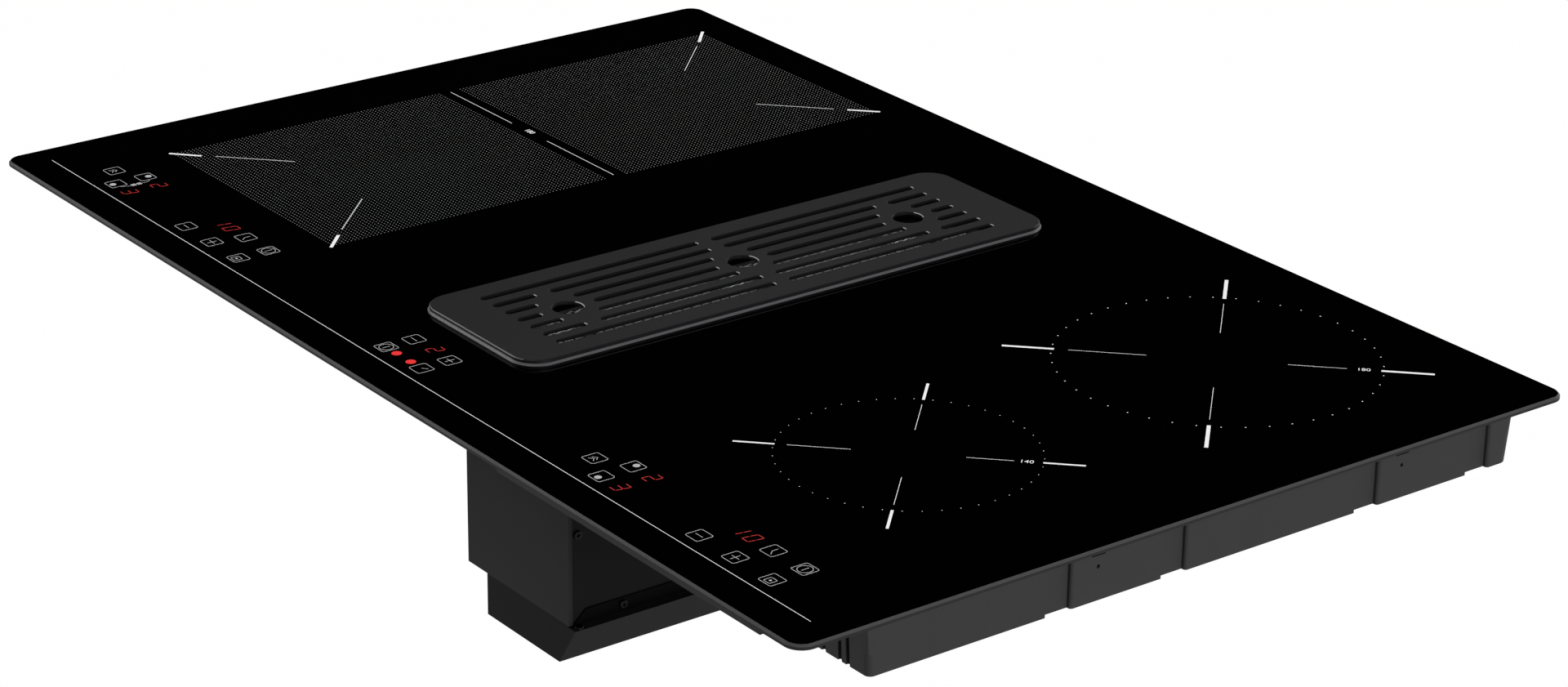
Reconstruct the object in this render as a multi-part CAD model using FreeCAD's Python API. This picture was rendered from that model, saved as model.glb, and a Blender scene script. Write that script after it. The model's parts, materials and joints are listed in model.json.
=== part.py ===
import FreeCAD, Part
import math
import os

os.makedirs("parts", exist_ok=True)

V = FreeCAD.Vector

# All sizes are in millimetres. The worktop's surface is z = 0, +X is right, +Y is rear.

# Shared clearances
overrun = 2.0           # how far a cutting tool runs past a face
part_gap = 0.3          # gap between a lift-out piece and its seat
fit_gap = 0.5           # loose gap between pieces that are fitted together
running_gap = 0.05      # radial gap of a wheel on its shaft
same_point = 1e-6       # points closer than this are one point
same_level = 0.004      # heights closer than this are one level

# Glass plate and the foam strips below its edge
glass_width = 798.0
glass_depth = 515.0
glass_thick = 4.0
glass_corner = 10.0
glass_bevel = 1.2
glass_under_rise = 1.2
glass_under_run = 4.6
seal_thick = 1.0
seal_width = 5.0
seal_inset = 7.0

# Vent opening in the glass
opening_width = 94.0
opening_corner = 12.0

# Grille: a slotted plate on a bevelled rim
grille_side_overlap = 8.0
grille_front_inset = 79.0
grille_rear_inset = 70.0
grille_end_overlap = 24.0
grille_corner = 16.0
grille_plate_thick = 2.0
grille_edge_bevel = 0.5
rim_proud = 1.0
rim_thick = 1.6
rim_width = 7.0
rim_bevel = 1.2
lip_thick = 2.0
lip_width = 60.0
lip_depth = 3.5
slot_width = 5.0
slot_columns = 7
slot_side_inset = 7.0
slot_end_inset = 6.0
slot_bridge_half = 5.0
slot_edge_bevel = 0.4
finger_hole_radius = 9.0
finger_hole_end_inset = 33.0
finger_hole_land = 8.5

# Collar that lines the opening and carries the filter
collar_wall = 2.0
collar_drop = 34.0
collar_flange_thick = 2.0
rail_depth = 6.5
rail_height = 4.0

# Grease filter, tilted about the long axis
filter_side_gap = 2.5
filter_thick = 8.0
filter_tilt_deg = 12.0
filter_border = 5.0
filter_corner = 9.0
filter_top_gap = 1.0
filter_end_gap = 1.5
mesh_thick = 1.2
mesh_depth = 1.0
mesh_rows = 9
mesh_columns = 32
mesh_wire = 2.0

# Extractor housing
housing_side_proud = 3.5
housing_end_inset = 3.5
housing_drop = 157.5
housing_sheet = 1.0
housing_flange = 7.0
cover_sheet = 1.5
cover_proud = 0.8
cover_fold = 2.4
cover_return = 12.0
cover_screw_inset = 6.3
cover_screw_length = 3.0
cover_screw_heights = (30.0, 103.0)
drain_width = 60.0
drain_length = 110.0
drain_front_margin = 20.0
flange_screw_count = 4

# Sump trough under the housing
sump_sheet = 1.2
sump_depth = 25.0
sump_left_inset = 18.8
sump_right_proud = 6.8
sump_right_inset = 9.0
sump_rear_inset = 51.0
sump_lip_height = 8.0
sump_lip_chamfer = 9.0
sump_flange = 10.0
sump_flange_setback = 14.0
gasket_thick = 1.0
sump_screw_front_inset = 36.0
sump_screw_rear_inset = 44.0
sump_screw_count = 3
ledge_screw_inset = 4.5

# Screws with a pan head
screw_radius = 1.5
screw_head_radius = 2.7
screw_head_height = 1.6
screw_head_round = 0.7
screw_recess_length = 2.8
screw_recess_width = 0.7
screw_recess_depth = 0.9
screw_length = 6.0
screw_hole_gap = 0.2

# Blower
blower_rear_inset = 90.0
impeller_radius = 45.0
impeller_inner_radius = 37.0
impeller_ring = 2.0
impeller_disc = 2.0
impeller_hub_radius = 8.0
impeller_hub_length = 17.0
blade_count = 28
blade_thick = 1.2
blade_lean_deg = 30.0
scroll_tip_gap = 5.0
scroll_growth = 10.0
scroll_growth_shares = (0.0, 0.3, 0.65, 1.0)
scroll_wall = 1.5
scroll_side_gap = 3.5
outlet_height = 40.0
inlet_radius = 36.0
inlet_side_gap = 8.5
inlet_ring_width = 8.0
inlet_ring_thick = 3.0
motor_radius = 20.0
motor_shaft_radius = 3.0
motor_hub_gap = 3.0
motor_mount_size = 62.0
motor_mount_thick = 2.0
collar_length = 25.0
collar_sheet = 2.0
collar_rim = 6.0
collar_rim_thick = 2.0

# Driver box on the housing's left wall
driver_width = 28.0
driver_length = 100.0
driver_height = 56.0
driver_top_drop = 62.0
driver_wall = 1.8

# Base trays
tray_side_inset = 24.0
tray_front_inset = 62.0
tray_rear_inset = 15.0
tray_draft = 2.3
tray_inner_gap = 4.5
tray_depth = 40.0
tray_wall = 2.5
tray_floor = 2.5
tray_corner = 3.2
tray_foot_corner = 7.0
tray_inner_corner = 4.5
skirt_drop = 2.0
channel_length = 16.5
channel_depth = 2.8
channel_ramp = 1.8
channel_round = 1.8
channel_shares = (0.2906, 0.4653, 0.7734, 0.9606)
clip_shares = (0.3306, 0.8116)
clip_slot_length = 9.0
clip_slot_height = 1.3
clip_slot_drop = 14.3
clip_hole_radius = 1.1
clip_hole_drop = 21.0
corner_edge_size = 9.0
corner_edge_round = 1.0
corner_foot_round = 3.5
corner_foot_height = 12.0
front_slit_width = 2.9
front_slit_depth = 1.4
front_slit_drop = 8.0
front_slit_pitch = 6.4
front_slit_inset = 16.2
front_slit_steps = (0, 1, 3)
post_radius = 4.5
post_inset = 9.0
standoff_radius = 3.5
standoff_height = 5.0
standoff_inset = 6.0
vent_slot_width = 4.0
vent_slot_pitch = 8.0
vent_slot_count = 7
vent_slot_length = 52.0

# Induction coils, their plates, ferrites, sheets and sensors
zone_side_inset = 119.0
coil_front_inset = 49.5
coil_rear_inset = 19.5
coil_spacing = 57.0
front_coil_share = 0.4359
coil_eye_radius = 16.0
flex_front_inset = 32.0
flex_rear_inset = 20.5
flex_spacing = 25.5
flex_coil_width = 172.0
flex_coil_corner = 50.0
flex_eye_width = 46.0
flex_eye_length = 54.0
flex_eye_corner = 18.0
coil_thick = 4.5
sheet_thick = 0.5
sheet_margin = 4.0
ferrite_thick = 3.5
ferrite_width = 11.0
ferrite_count = 8
ferrite_span_share = 0.9
ferrite_eye_gap = 4.0
plate_thick = 1.5
plate_margin = 4.0
sensor_radius = 5.0
sensor_hole_radius = 9.0
sensor_foot_radius = 12.0
sensor_foot_height = 2.0

# Power boards with their heat sinks, parts and cooling fans
board_thick = 1.6
board_length = 250.0
board_fan_gap = 22.0
board_side_gap = 26.0
board_front_gap = 44.0
sink_width = 60.0
sink_length = 130.0
sink_base = 4.0
sink_height = 15.0
sink_fin_count = 9
sink_fin_thick = 1.6
sink_edge_gap = 10.0
can_radius = 9.0
can_height = 15.0
can_pitch = 24.0
can_count = 4
can_edge_gap = 26.0
choke_width = 34.0
choke_length = 30.0
choke_height = 14.0
fan_size = 70.0
fan_height = 15.0
fan_bore_radius = 32.5
fan_side_gap = 22.0
fan_rear_inset = 182.5
fan_hub_radius = 14.0
fan_base_thick = 2.0
fan_pin_radius = 2.0
fan_strut_width = 4.0
fan_tip_gap = 1.5
fan_blade_count = 7
fan_blade_thick = 1.4
fan_blade_pitch_deg = 38.0
fan_rotor_height = 9.0

# Touch controls under the front of the glass
touch_front_inset = 13.5
touch_rear_gap = 0.7
right_touch_depth = 12.0
touch_wall = 1.5
touch_width = 228.0
touch_side_inset = 47.0
centre_touch_width = 90.0
shallow_touch_depth = 8.0
touch_board_drop = 2.6
touch_post_size = 5.0
digit_width = 13.0
digit_length = 30.0
digit_glass_gap = 0.4
left_digit_shares = (0.206, 0.577)
centre_digit_shares = (0.5,)
right_digit_shares = (0.355, 0.723)

# Mains terminal and cable gland in the left tray
gland_side_inset = 75.0
gland_rear_inset = 27.0
gland_bore_radius = 5.2
gland_thread_radius = 7.5
gland_head_radius = 10.0
gland_head_length = 14.0
gland_inside_length = 8.0
gland_nut_radius = 10.0
gland_nut_length = 4.0
terminal_width = 44.0
terminal_length = 24.0
terminal_height = 17.0
terminal_gland_gap = 16.0
terminal_ways = 5
terminal_screw_radius = 2.2
terminal_screw_depth = 3.0

# Levels and places that follow from the sizes above
grille_width = opening_width + 2 * grille_side_overlap
grille_length = glass_depth - grille_front_inset - grille_rear_inset
vent_y = (grille_front_inset - grille_rear_inset) / 2
opening_length = grille_length - 2 * grille_end_overlap
slot_pitch = (opening_width - 2 * slot_side_inset - slot_width) / (slot_columns - 1)
slot_reach = opening_length / 2 - slot_end_inset
finger_hole_pitch = slot_reach - finger_hole_end_inset
housing_width = opening_width + 2 * housing_side_proud
housing_length = opening_length - 2 * housing_end_inset
glass_bottom = seal_thick
glass_top = glass_bottom + glass_thick
rim_top = glass_top + rim_thick
grille_top = rim_top + grille_plate_thick

collar_width = opening_width - 2 * fit_gap
collar_span = opening_length - 2 * fit_gap
collar_inner_width = collar_width - 2 * collar_wall
collar_inner_span = collar_span - 2 * collar_wall
collar_flange_bottom = glass_bottom - collar_flange_thick
collar_bottom = glass_bottom - collar_drop
shaft_span = housing_length - 2 * (cover_sheet + fit_gap)
shaft_inner_span = shaft_span - 2 * collar_wall

housing_top = collar_flange_bottom
housing_bottom = -housing_drop
housing_front = vent_y - housing_length / 2
housing_rear = vent_y + housing_length / 2
housing_half = housing_width / 2
housing_inner_half = housing_half - housing_sheet
housing_floor = housing_bottom + housing_sheet
flange_width = housing_width + 2 * housing_flange
flange_length = housing_length + 2 * housing_flange
cover_back = housing_front + cover_sheet

filter_tilt = math.radians(filter_tilt_deg)
filter_rise = math.sin(filter_tilt)
filter_run = math.cos(filter_tilt)
filter_width = collar_inner_width - 2 * filter_side_gap
filter_length = shaft_inner_span - 2 * filter_end_gap
filter_middle = rim_top - filter_top_gap - filter_width / 2 * filter_rise

gasket_bottom = housing_bottom - gasket_thick
sump_bottom = gasket_bottom - sump_depth
sump_left = housing_half - sump_left_inset
sump_right_top = housing_half + sump_right_proud
sump_right_bottom = housing_half - sump_right_inset
sump_rear = housing_rear - sump_rear_inset

scroll_start = impeller_radius + scroll_tip_gap
scroll_radii = [scroll_start + scroll_growth * share for share in scroll_growth_shares]
scroll_half = housing_inner_half - inlet_side_gap - inlet_ring_thick
impeller_width = 2 * (scroll_half - scroll_wall - scroll_side_gap)
blower_y = housing_rear - blower_rear_inset
blower_z = housing_floor + scroll_radii[-1] + scroll_wall
outlet_low = blower_z - scroll_radii[-1]
outlet_high = outlet_low + outlet_height

tray_right = glass_width / 2 - tray_side_inset
tray_left = flange_width / 2 + tray_inner_gap
tray_front = -glass_depth / 2 + tray_front_inset
tray_rear = glass_depth / 2 - tray_rear_inset
tray_width = tray_right - tray_left
tray_length = tray_rear - tray_front
tray_middle = ((tray_left + tray_right) / 2, (tray_front + tray_rear) / 2)
tray_bottom = glass_bottom - tray_depth
tray_underside = tray_bottom + skirt_drop
tray_floor_top = tray_underside + tray_floor

zone_x = tray_right - zone_side_inset
coil_room = tray_length - coil_front_inset - coil_rear_inset - coil_spacing
front_coil_radius = coil_room / 2 * front_coil_share
rear_coil_radius = coil_room / 2 - front_coil_radius
front_zone_y = tray_front + coil_front_inset + front_coil_radius
rear_zone_y = tray_rear - coil_rear_inset - rear_coil_radius
flex_coil_length = (tray_length - flex_front_inset - flex_rear_inset - flex_spacing) / 2
flex_front_y = tray_front + flex_front_inset + flex_coil_length / 2
flex_rear_y = tray_rear - flex_rear_inset - flex_coil_length / 2

sheet_bottom = glass_bottom - sheet_thick
coil_bottom = sheet_bottom - coil_thick
ferrite_bottom = coil_bottom - ferrite_thick
plate_bottom = ferrite_bottom - plate_thick
board_bottom = tray_floor_top + standoff_height
board_top = board_bottom + board_thick
fan_x = tray_right - tray_wall - fan_side_gap - fan_size / 2
fan_y = tray_rear - fan_rear_inset
board_left = tray_left + tray_wall + board_side_gap
board_front = tray_front + tray_wall + board_front_gap
board_width = fan_x - fan_size / 2 - board_fan_gap - board_left
fan_base_top = tray_floor_top + fan_base_thick
fan_rotor_bottom = fan_base_top + fit_gap
fan_top = tray_floor_top + fan_height

touch_front = -glass_depth / 2 + touch_front_inset
touch_rear = tray_front - tray_draft - touch_rear_gap
touch_x = glass_width / 2 - touch_side_inset - touch_width / 2
gland_x = tray_right - gland_side_inset
gland_y = tray_rear - gland_rear_inset


def block(low, high):
    """Axis-aligned block between two opposite corners."""
    return Part.makeBox(high[0] - low[0], high[1] - low[1], high[2] - low[2], V(*low))


def rod(radius, start, end):
    """Round bar from one point to another."""
    run = V(*end) - V(*start)
    return Part.makeCylinder(radius, run.Length, V(*start), run)


def joined(shapes):
    """One solid made of shapes that touch or overlap."""
    return shapes[0].multiFuse(shapes[1:]).removeSplitter()


def mirrored(shape):
    """The same shape on the other side of the centre plane."""
    return shape.mirror(V(0, 0, 0), V(1, 0, 0))


def rounded_wire(width, length, radius, middle, z):
    """Closed outline of a rectangle with round corners, at height z."""
    x, y = middle
    corners = ((1, 1), (-1, 1), (-1, -1), (1, -1))
    arcs = []
    for turn, (side, end) in enumerate(corners):
        centre = V(x + side * (width / 2 - radius), y + end * (length / 2 - radius), z)
        start = math.pi / 2 * turn
        angles = (start, start + math.pi / 4, start + math.pi / 2)
        points = [centre + V(math.cos(a), math.sin(a), 0) * radius for a in angles]
        arcs.append((points, Part.Arc(*points).toShape()))
    edges = []
    for (points, arc), (following, _) in zip(arcs, arcs[1:] + arcs[:1]):
        edges.append(arc)
        if not points[-1].isEqual(following[0], same_point):
            edges.append(Part.LineSegment(points[-1], following[0]).toShape())
    return Part.Wire(edges)


def rounded_prism(width, length, radius, low, high, middle):
    """Upright block with round vertical corners between two heights."""
    face = Part.Face(rounded_wire(width, length, radius, middle, low))
    return face.extrude(V(0, 0, high - low))


def drafted_prism(foot, head):
    """Upright block between two outlines that have the same run of lines and arcs."""
    faces = [Part.Face(foot), Part.Face(head)]
    for low, high in zip(foot.Edges, head.Edges):
        start, end = [vertex.Point for vertex in low.Vertexes]
        above, beyond = [vertex.Point for vertex in high.Vertexes]
        if low.Curve.TypeId == "Part::GeomLine":
            faces.append(Part.Face(Part.makePolygon([start, end, beyond, above, start])))
        else:
            faces.append(Part.makeRuledSurface(low, high))
    shell = Part.makeShell(faces)
    shell.sewShape()
    solid = Part.makeSolid(shell)
    return solid if solid.Volume > 0 else solid.reversed()


def slot_prism(width, start, end, x, low, high):
    """Upright round-ended slot along Y from start to end."""
    return rounded_prism(width, end - start, width / 2, low, high, (x, (start + end) / 2))


def profile_y(points, start, end):
    """Profile of (x, z) points pulled along Y from start to end."""
    corners = [V(x, start, z) for x, z in points]
    face = Part.Face(Part.makePolygon(corners + corners[:1]))
    return face.extrude(V(0, end - start, 0))


def outer_edges_at(shape, z):
    """Edges of a shape that lie wholly at height z."""
    box_at = [(edge, edge.BoundBox) for edge in shape.Edges]
    return [edge for edge, b in box_at if abs(b.ZMin - z) < same_level and abs(b.ZMax - z) < same_level]


def inner_edges_at(shape, z):
    """Edges at height z of the holes in a shape's flat top."""
    tops = [face for face in shape.Faces if abs(face.BoundBox.ZMin - z) < same_level]
    wires = [wire for top in tops for wire in top.Wires if not wire.isSame(top.OuterWire)]
    return [edge for wire in wires for edge in wire.Edges]


def screw(seat, direction, length):
    """Pan-head screw with a cross recess, its head on seat and its shank along direction."""
    head = rod(screw_head_radius, (0, 0, -screw_head_height), (0, 0, 0))
    crown = outer_edges_at(head, -screw_head_height)
    head = head.makeFillet(min(screw_head_round, screw_head_height / 2), crown)
    shank = rod(screw_radius, (0, 0, 0), (0, 0, length))
    reach = screw_recess_length / 2
    half = screw_recess_width / 2
    top = -screw_head_height - overrun
    floor = screw_recess_depth - screw_head_height
    recess = [block((-x, -y, top), (x, y, floor)) for x, y in ((reach, half), (half, reach))]
    item = joined([head, shank]).cut(recess)
    item.Placement = FreeCAD.Placement(V(*seat), FreeCAD.Rotation(V(0, 0, 1), V(*direction)))
    return item


def screw_hole(seat, direction):
    """Clearance hole for the shank of a screw, through the sheets under its head."""
    seat = V(*seat)
    direction = V(*direction)
    reach = screw_length + overrun
    return rod(screw_radius + screw_hole_gap, seat - direction * overrun, seat + direction * reach)


def glass_plate():
    """Glass plate with a ground edge that slopes in below, and the vent opening."""
    knee = glass_bottom + glass_under_rise
    plate = rounded_prism(glass_width, glass_depth, glass_corner, knee, glass_top, (0, 0))
    plate = plate.makeChamfer(glass_bevel, outer_edges_at(plate, glass_top))
    foot = rounded_wire(glass_width - 2 * glass_under_run, glass_depth - 2 * glass_under_run,
                        glass_corner - glass_under_run, (0, 0), glass_bottom)
    head = rounded_wire(glass_width, glass_depth, glass_corner, (0, 0), knee)
    plate = joined([plate, drafted_prism(foot, head)])
    opening = rounded_prism(opening_width, opening_length, opening_corner,
                            glass_bottom - overrun, glass_top + overrun, (0, vent_y))
    return plate.cut(opening)


def seal_strips():
    """Four foam strips under the edge of the glass, butted at the corners."""
    half_x = glass_width / 2 - seal_inset
    half_y = glass_depth / 2 - seal_inset
    strips = []
    for side in (-1, 1):
        outer, inner = sorted((side * half_y, side * (half_y - seal_width)))
        strips.append(block((-half_x, outer, 0), (half_x, inner, seal_thick)))
        outer, inner = sorted((side * half_x, side * (half_x - seal_width)))
        reach = half_y - seal_width
        strips.append(block((outer, -reach, 0), (inner, reach, seal_thick)))
    return Part.makeCompound(strips)


def slot_gap(x, hole_row):
    """Half of the land that a slot column at x leaves at a row of finger holes."""
    land = finger_hole_radius + finger_hole_land
    beside = math.sqrt(max(land ** 2 - x ** 2, 0))
    needed = max(slot_bridge_half, beside)
    outermost = abs(x) > (slot_columns // 2 - 0.5) * slot_pitch
    return 0 if outermost and hole_row else needed


def grille_slots():
    """Slots of the grille, stopped short of the finger holes."""
    low = rim_top - overrun
    high = grille_top + overrun
    tools = []
    for column in range(slot_columns):
        x = (column - slot_columns // 2) * slot_pitch
        near = slot_gap(x, 0)
        far = slot_gap(x, 1)
        stretches = [(near, slot_reach)]
        if far:
            stretches = [(near, finger_hole_pitch - far), (finger_hole_pitch + far, slot_reach)]
        for start, end in stretches:
            tools.append(slot_prism(slot_width, vent_y + start, vent_y + end, x, low, high))
            tools.append(slot_prism(slot_width, vent_y - end, vent_y - start, x, low, high))
    return tools


def grille_plate():
    """Slotted top plate of the grille with its finger holes."""
    plate = rounded_prism(grille_width, grille_length, grille_corner, rim_top, grille_top, (0, vent_y))
    plate = plate.makeChamfer(grille_edge_bevel, outer_edges_at(plate, grille_top))
    tools = grille_slots()
    for row in (-1, 0, 1):
        y = vent_y + row * finger_hole_pitch
        tools.append(rod(finger_hole_radius, (0, y, rim_top - overrun), (0, y, grille_top + overrun)))
    slotted = plate.cut(tools)
    return slotted.makeChamfer(slot_edge_bevel, inner_edges_at(slotted, grille_top))


def grille_rim():
    """Bevelled rim under the grille, with a locating lip at each end."""
    middle = (0, vent_y)
    width = grille_width + 2 * rim_proud
    length = grille_length + 2 * rim_proud
    corner = grille_corner + rim_proud
    ring = rounded_prism(width, length, corner, glass_top, rim_top, middle)
    ring = ring.makeChamfer(min(rim_bevel, rim_thick * 0.8), outer_edges_at(ring, rim_top))
    hollow = rounded_prism(width - 2 * rim_width, length - 2 * rim_width, corner - rim_width,
                           glass_top - overrun, rim_top + overrun, middle)
    lips = []
    reach = collar_inner_span / 2 - fit_gap
    for end in (-1, 1):
        outer, inner = sorted((vent_y + end * reach, vent_y + end * (reach - lip_thick)))
        lips.append(block((-lip_width / 2, outer, glass_top - lip_depth), (lip_width / 2, inner, rim_top)))
        outer, inner = sorted((vent_y + end * reach, vent_y + end * (length / 2 - rim_width + rim_proud)))
        lips.append(block((-lip_width / 2, outer, glass_top), (lip_width / 2, inner, rim_top)))
    return joined([ring.cut(hollow)] + lips)


def tilted(shape):
    """A flat filter piece, drawn about the origin, put at the filter's tilt and place."""
    turned = shape.copy()
    turned.rotate(V(0, 0, 0), V(0, 1, 0), -filter_tilt_deg)
    turned.translate(V(0, vent_y, filter_middle))
    return turned


def filter_frame():
    """Folded frame of the grease filter."""
    frame = rounded_prism(filter_width, filter_length, filter_corner, -filter_thick, 0, (0, 0))
    inner_w = filter_width / 2 - filter_border
    inner_l = filter_length / 2 - filter_border
    window = block((-inner_w, -inner_l, -filter_thick - overrun), (inner_w, inner_l, overrun))
    return tilted(frame.cut(window))


def filter_mesh():
    """Mesh panel of the filter: one face with a grid of gaps."""
    width = filter_width - 2 * filter_border
    length = filter_length - 2 * filter_border
    low = -mesh_depth - mesh_thick
    pitch_x = (width - mesh_wire) / mesh_rows
    pitch_y = (length - mesh_wire) / mesh_columns
    wires = [rectangle_wire(-width / 2, -length / 2, width, length, low)]
    for row in range(mesh_rows):
        for column in range(mesh_columns):
            x = -width / 2 + mesh_wire + row * pitch_x
            y = -length / 2 + mesh_wire + column * pitch_y
            wires.append(rectangle_wire(x, y, pitch_x - mesh_wire, pitch_y - mesh_wire, low))
    face = Part.makeFace(Part.makeCompound(wires), "Part::FaceMakerBullseye")
    return tilted(face.extrude(V(0, 0, mesh_thick)))


def rectangle_wire(x, y, width, length, z):
    """Closed rectangle at height z with one corner at x, y."""
    points = [V(x, y, z), V(x + width, y, z), V(x + width, y + length, z), V(x, y + length, z)]
    return Part.makePolygon(points + points[:1])


def filter_seat_z(x):
    """Height of the filter's underside above a point at x, less the seat gap."""
    below = filter_middle - filter_thick / filter_run
    return below + x * filter_rise / filter_run - part_gap


def intake_collar():
    """Collar in the opening: a neck, a flange under the glass, a shaft and two filter rails."""
    middle = (0, vent_y)
    corner = opening_corner - fit_gap
    inner_corner = corner - collar_wall
    neck = rounded_prism(collar_width, collar_span, corner, glass_bottom, glass_top - fit_gap, middle)
    throat = rounded_prism(collar_inner_width, collar_inner_span, inner_corner,
                           glass_bottom, glass_top + overrun, middle)
    flange = rounded_prism(flange_width, flange_length, opening_corner,
                           collar_flange_bottom, glass_bottom, middle)
    shaft = rounded_prism(collar_width, shaft_span, corner, collar_bottom, collar_flange_bottom, middle)
    way = rounded_prism(collar_inner_width, shaft_inner_span, inner_corner,
                        collar_bottom - overrun, glass_bottom + overrun, middle)
    rails = []
    half = collar_inner_width / 2
    reach = shaft_inner_span / 2 - opening_corner
    for side in (-1, 1):
        inner = side * (half - rail_depth)
        outer = side * (half + collar_wall / 2)
        points = [(x, filter_seat_z(x) - drop) for x, drop in
                  ((inner, 0), (outer, 0), (outer, rail_height), (inner, rail_height))]
        rails.append(profile_y(points, vent_y - reach, vent_y + reach))
    collar = joined([joined([neck, flange, shaft]).cut([throat, way])] + rails)
    return collar.cut([screw_hole(seat, (0, 0, 1)) for seat in flange_screw_seats()])


def flange_screw_seats():
    """Places of the screws that hold the housing's flange to the collar."""
    seats = []
    x = housing_half + housing_flange / 2
    pitch = housing_length / flange_screw_count
    for index in range(flange_screw_count):
        y = housing_front + pitch * (index + 0.5)
        seats += [(side * x, y, housing_top - housing_sheet) for side in (-1, 1)]
    return seats


def flange_screws():
    """Screws from below through the housing's flange into the collar, stopped below the glass."""
    length = housing_sheet + collar_flange_thick - part_gap
    return Part.makeCompound([screw(seat, (0, 0, 1), length) for seat in flange_screw_seats()])


def cover_screw_seats():
    """Places of the screws through the housing's walls into the front cover."""
    y = housing_front + cover_screw_inset
    return [(side * housing_half, y, -drop, side) for side in (-1, 1) for drop in cover_screw_heights]


def cover_screws():
    """Screws that hold the front cover's side returns."""
    return Part.makeCompound([screw((x, y, z), (-side, 0, 0), cover_screw_length)
                              for x, y, z, side in cover_screw_seats()])


def cover_screw_holes():
    """Clearance holes for the cover screws."""
    return [screw_hole((x, y, z), (-side, 0, 0)) for x, y, z, side in cover_screw_seats()]


def extractor_housing():
    """Sheet-metal box: side and rear walls, floor with a drain, outlet hole and top flange."""
    shell = block((-housing_half, cover_back, housing_bottom), (housing_half, housing_rear, housing_top))
    hollow = block((-housing_inner_half, cover_back - overrun, housing_floor),
                   (housing_inner_half, housing_rear - housing_sheet, housing_top + overrun))
    flange = rounded_prism(flange_width, flange_length, opening_corner,
                           housing_top - housing_sheet, housing_top, (0, vent_y))
    way = block((-housing_inner_half, cover_back, housing_bottom),
                (housing_inner_half, housing_rear - housing_sheet, housing_top + overrun))
    drain_front = housing_front + drain_front_margin
    drain = block((-drain_width / 2, drain_front, housing_bottom - overrun),
                  (drain_width / 2, drain_front + drain_length, housing_floor + overrun))
    outlet = block((-scroll_half + scroll_wall, housing_rear - housing_sheet - overrun, outlet_low),
                   (scroll_half - scroll_wall, housing_rear + overrun, outlet_high))
    body = joined([shell.cut(hollow), flange.cut(way)])
    holes = cover_screw_holes() + [screw_hole(seat, (0, 0, 1)) for seat in flange_screw_seats()]
    holes += [screw_hole(seat, (-1, 0, 0)) for seat in sump_screw_seats()]
    return body.cut([drain, outlet] + holes)


def front_cover():
    """Front sheet of the housing with a narrow fold and an inner return along each side."""
    half = housing_half + cover_proud
    fold_back = housing_front + cover_fold
    top = housing_top - housing_sheet - part_gap
    sheet = block((-half, housing_front, housing_bottom), (half, cover_back, top))
    parts = [sheet]
    for side in (-1, 1):
        outer = side * (housing_inner_half - screw_hole_gap)
        inner = side * (housing_inner_half - screw_hole_gap - housing_sheet)
        low, high = sorted((outer, inner))
        bottom = housing_floor + fit_gap
        parts.append(block((low, cover_back, bottom), (high, cover_back + cover_return, top)))
        low, high = sorted((side * housing_half, side * half))
        parts.append(block((low, cover_back, housing_bottom), (high, fold_back, top)))
    return joined(parts).cut(cover_screw_holes())


def sump_section(inset):
    """Cross-section of the trough, taken in by inset on its left, bottom and right."""
    slope = (sump_right_top - sump_right_bottom) / sump_depth
    side = inset * math.sqrt(1 + slope ** 2)
    low = sump_bottom + inset
    return [(-sump_left + inset, gasket_bottom), (-sump_left + inset, low),
            (sump_right_bottom + slope * inset - side, low), (sump_right_top - side, gasket_bottom)]


def sump_trough():
    """Folded trough: walls, a flange under the housing, a front upstand and a lip up its right wall."""
    body = profile_y(sump_section(0), housing_front, sump_rear)
    hollow = profile_y(sump_section(sump_sheet), housing_front + sump_sheet, sump_rear - sump_sheet)
    flange_front = housing_front + sump_flange_setback
    flange = block((-sump_left - sump_flange, flange_front, gasket_bottom - sump_sheet),
                   (-sump_left + sump_sheet, sump_rear - sump_sheet, gasket_bottom))
    ledge = block((housing_half, housing_front, gasket_bottom - sump_sheet),
                  (sump_right_top - sump_sheet, sump_rear, gasket_bottom))
    upstand = block((-sump_left, housing_front, gasket_bottom),
                    (housing_half, housing_front + sump_sheet, housing_bottom))
    x, y, z = ledge_screw_seat()
    holes = [screw_hole(seat, (-1, 0, 0)) for seat in sump_screw_seats()]
    holes.append(rod(screw_radius + screw_hole_gap, (x, y, z + overrun), (x, y, z - sump_sheet + part_gap)))
    return joined([body.cut(hollow), flange, ledge, upstand, sump_lip()]).cut(holes)


def sump_lip():
    """Lip of the trough on the housing's right wall, with a chamfer at each end."""
    low = gasket_bottom - sump_sheet
    high = housing_bottom + sump_lip_height
    front = housing_front + cover_fold
    points = [V(housing_half, y, z) for y, z in (
        (front, low), (sump_rear, low), (sump_rear, housing_bottom),
        (sump_rear - sump_lip_chamfer, high), (front + sump_lip_chamfer, high), (front, housing_bottom))]
    return Part.Face(Part.makePolygon(points + points[:1])).extrude(V(sump_sheet, 0, 0))


def sump_screw_seats():
    """Places of the screws through the trough's lip into the housing."""
    x = housing_half + sump_sheet
    z = housing_bottom + sump_lip_height / 2
    first = housing_front + sump_screw_front_inset
    pitch = (sump_rear - sump_screw_rear_inset - first) / (sump_screw_count - 1)
    return [(x, first + index * pitch, z) for index in range(sump_screw_count)]


def ledge_screw_seat():
    """Place of the short screw on the trough's ledge, near its front corner."""
    x = (housing_half + sump_sheet + sump_right_top) / 2
    return (x, housing_front + ledge_screw_inset, gasket_bottom)


def sump_screws():
    """Screws that hold the trough's lip, and the short one on its ledge."""
    items = [screw(seat, (-1, 0, 0), screw_length) for seat in sump_screw_seats()]
    items.append(screw(ledge_screw_seat(), (0, 0, -1), sump_sheet - 2 * part_gap))
    return Part.makeCompound(items)


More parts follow.
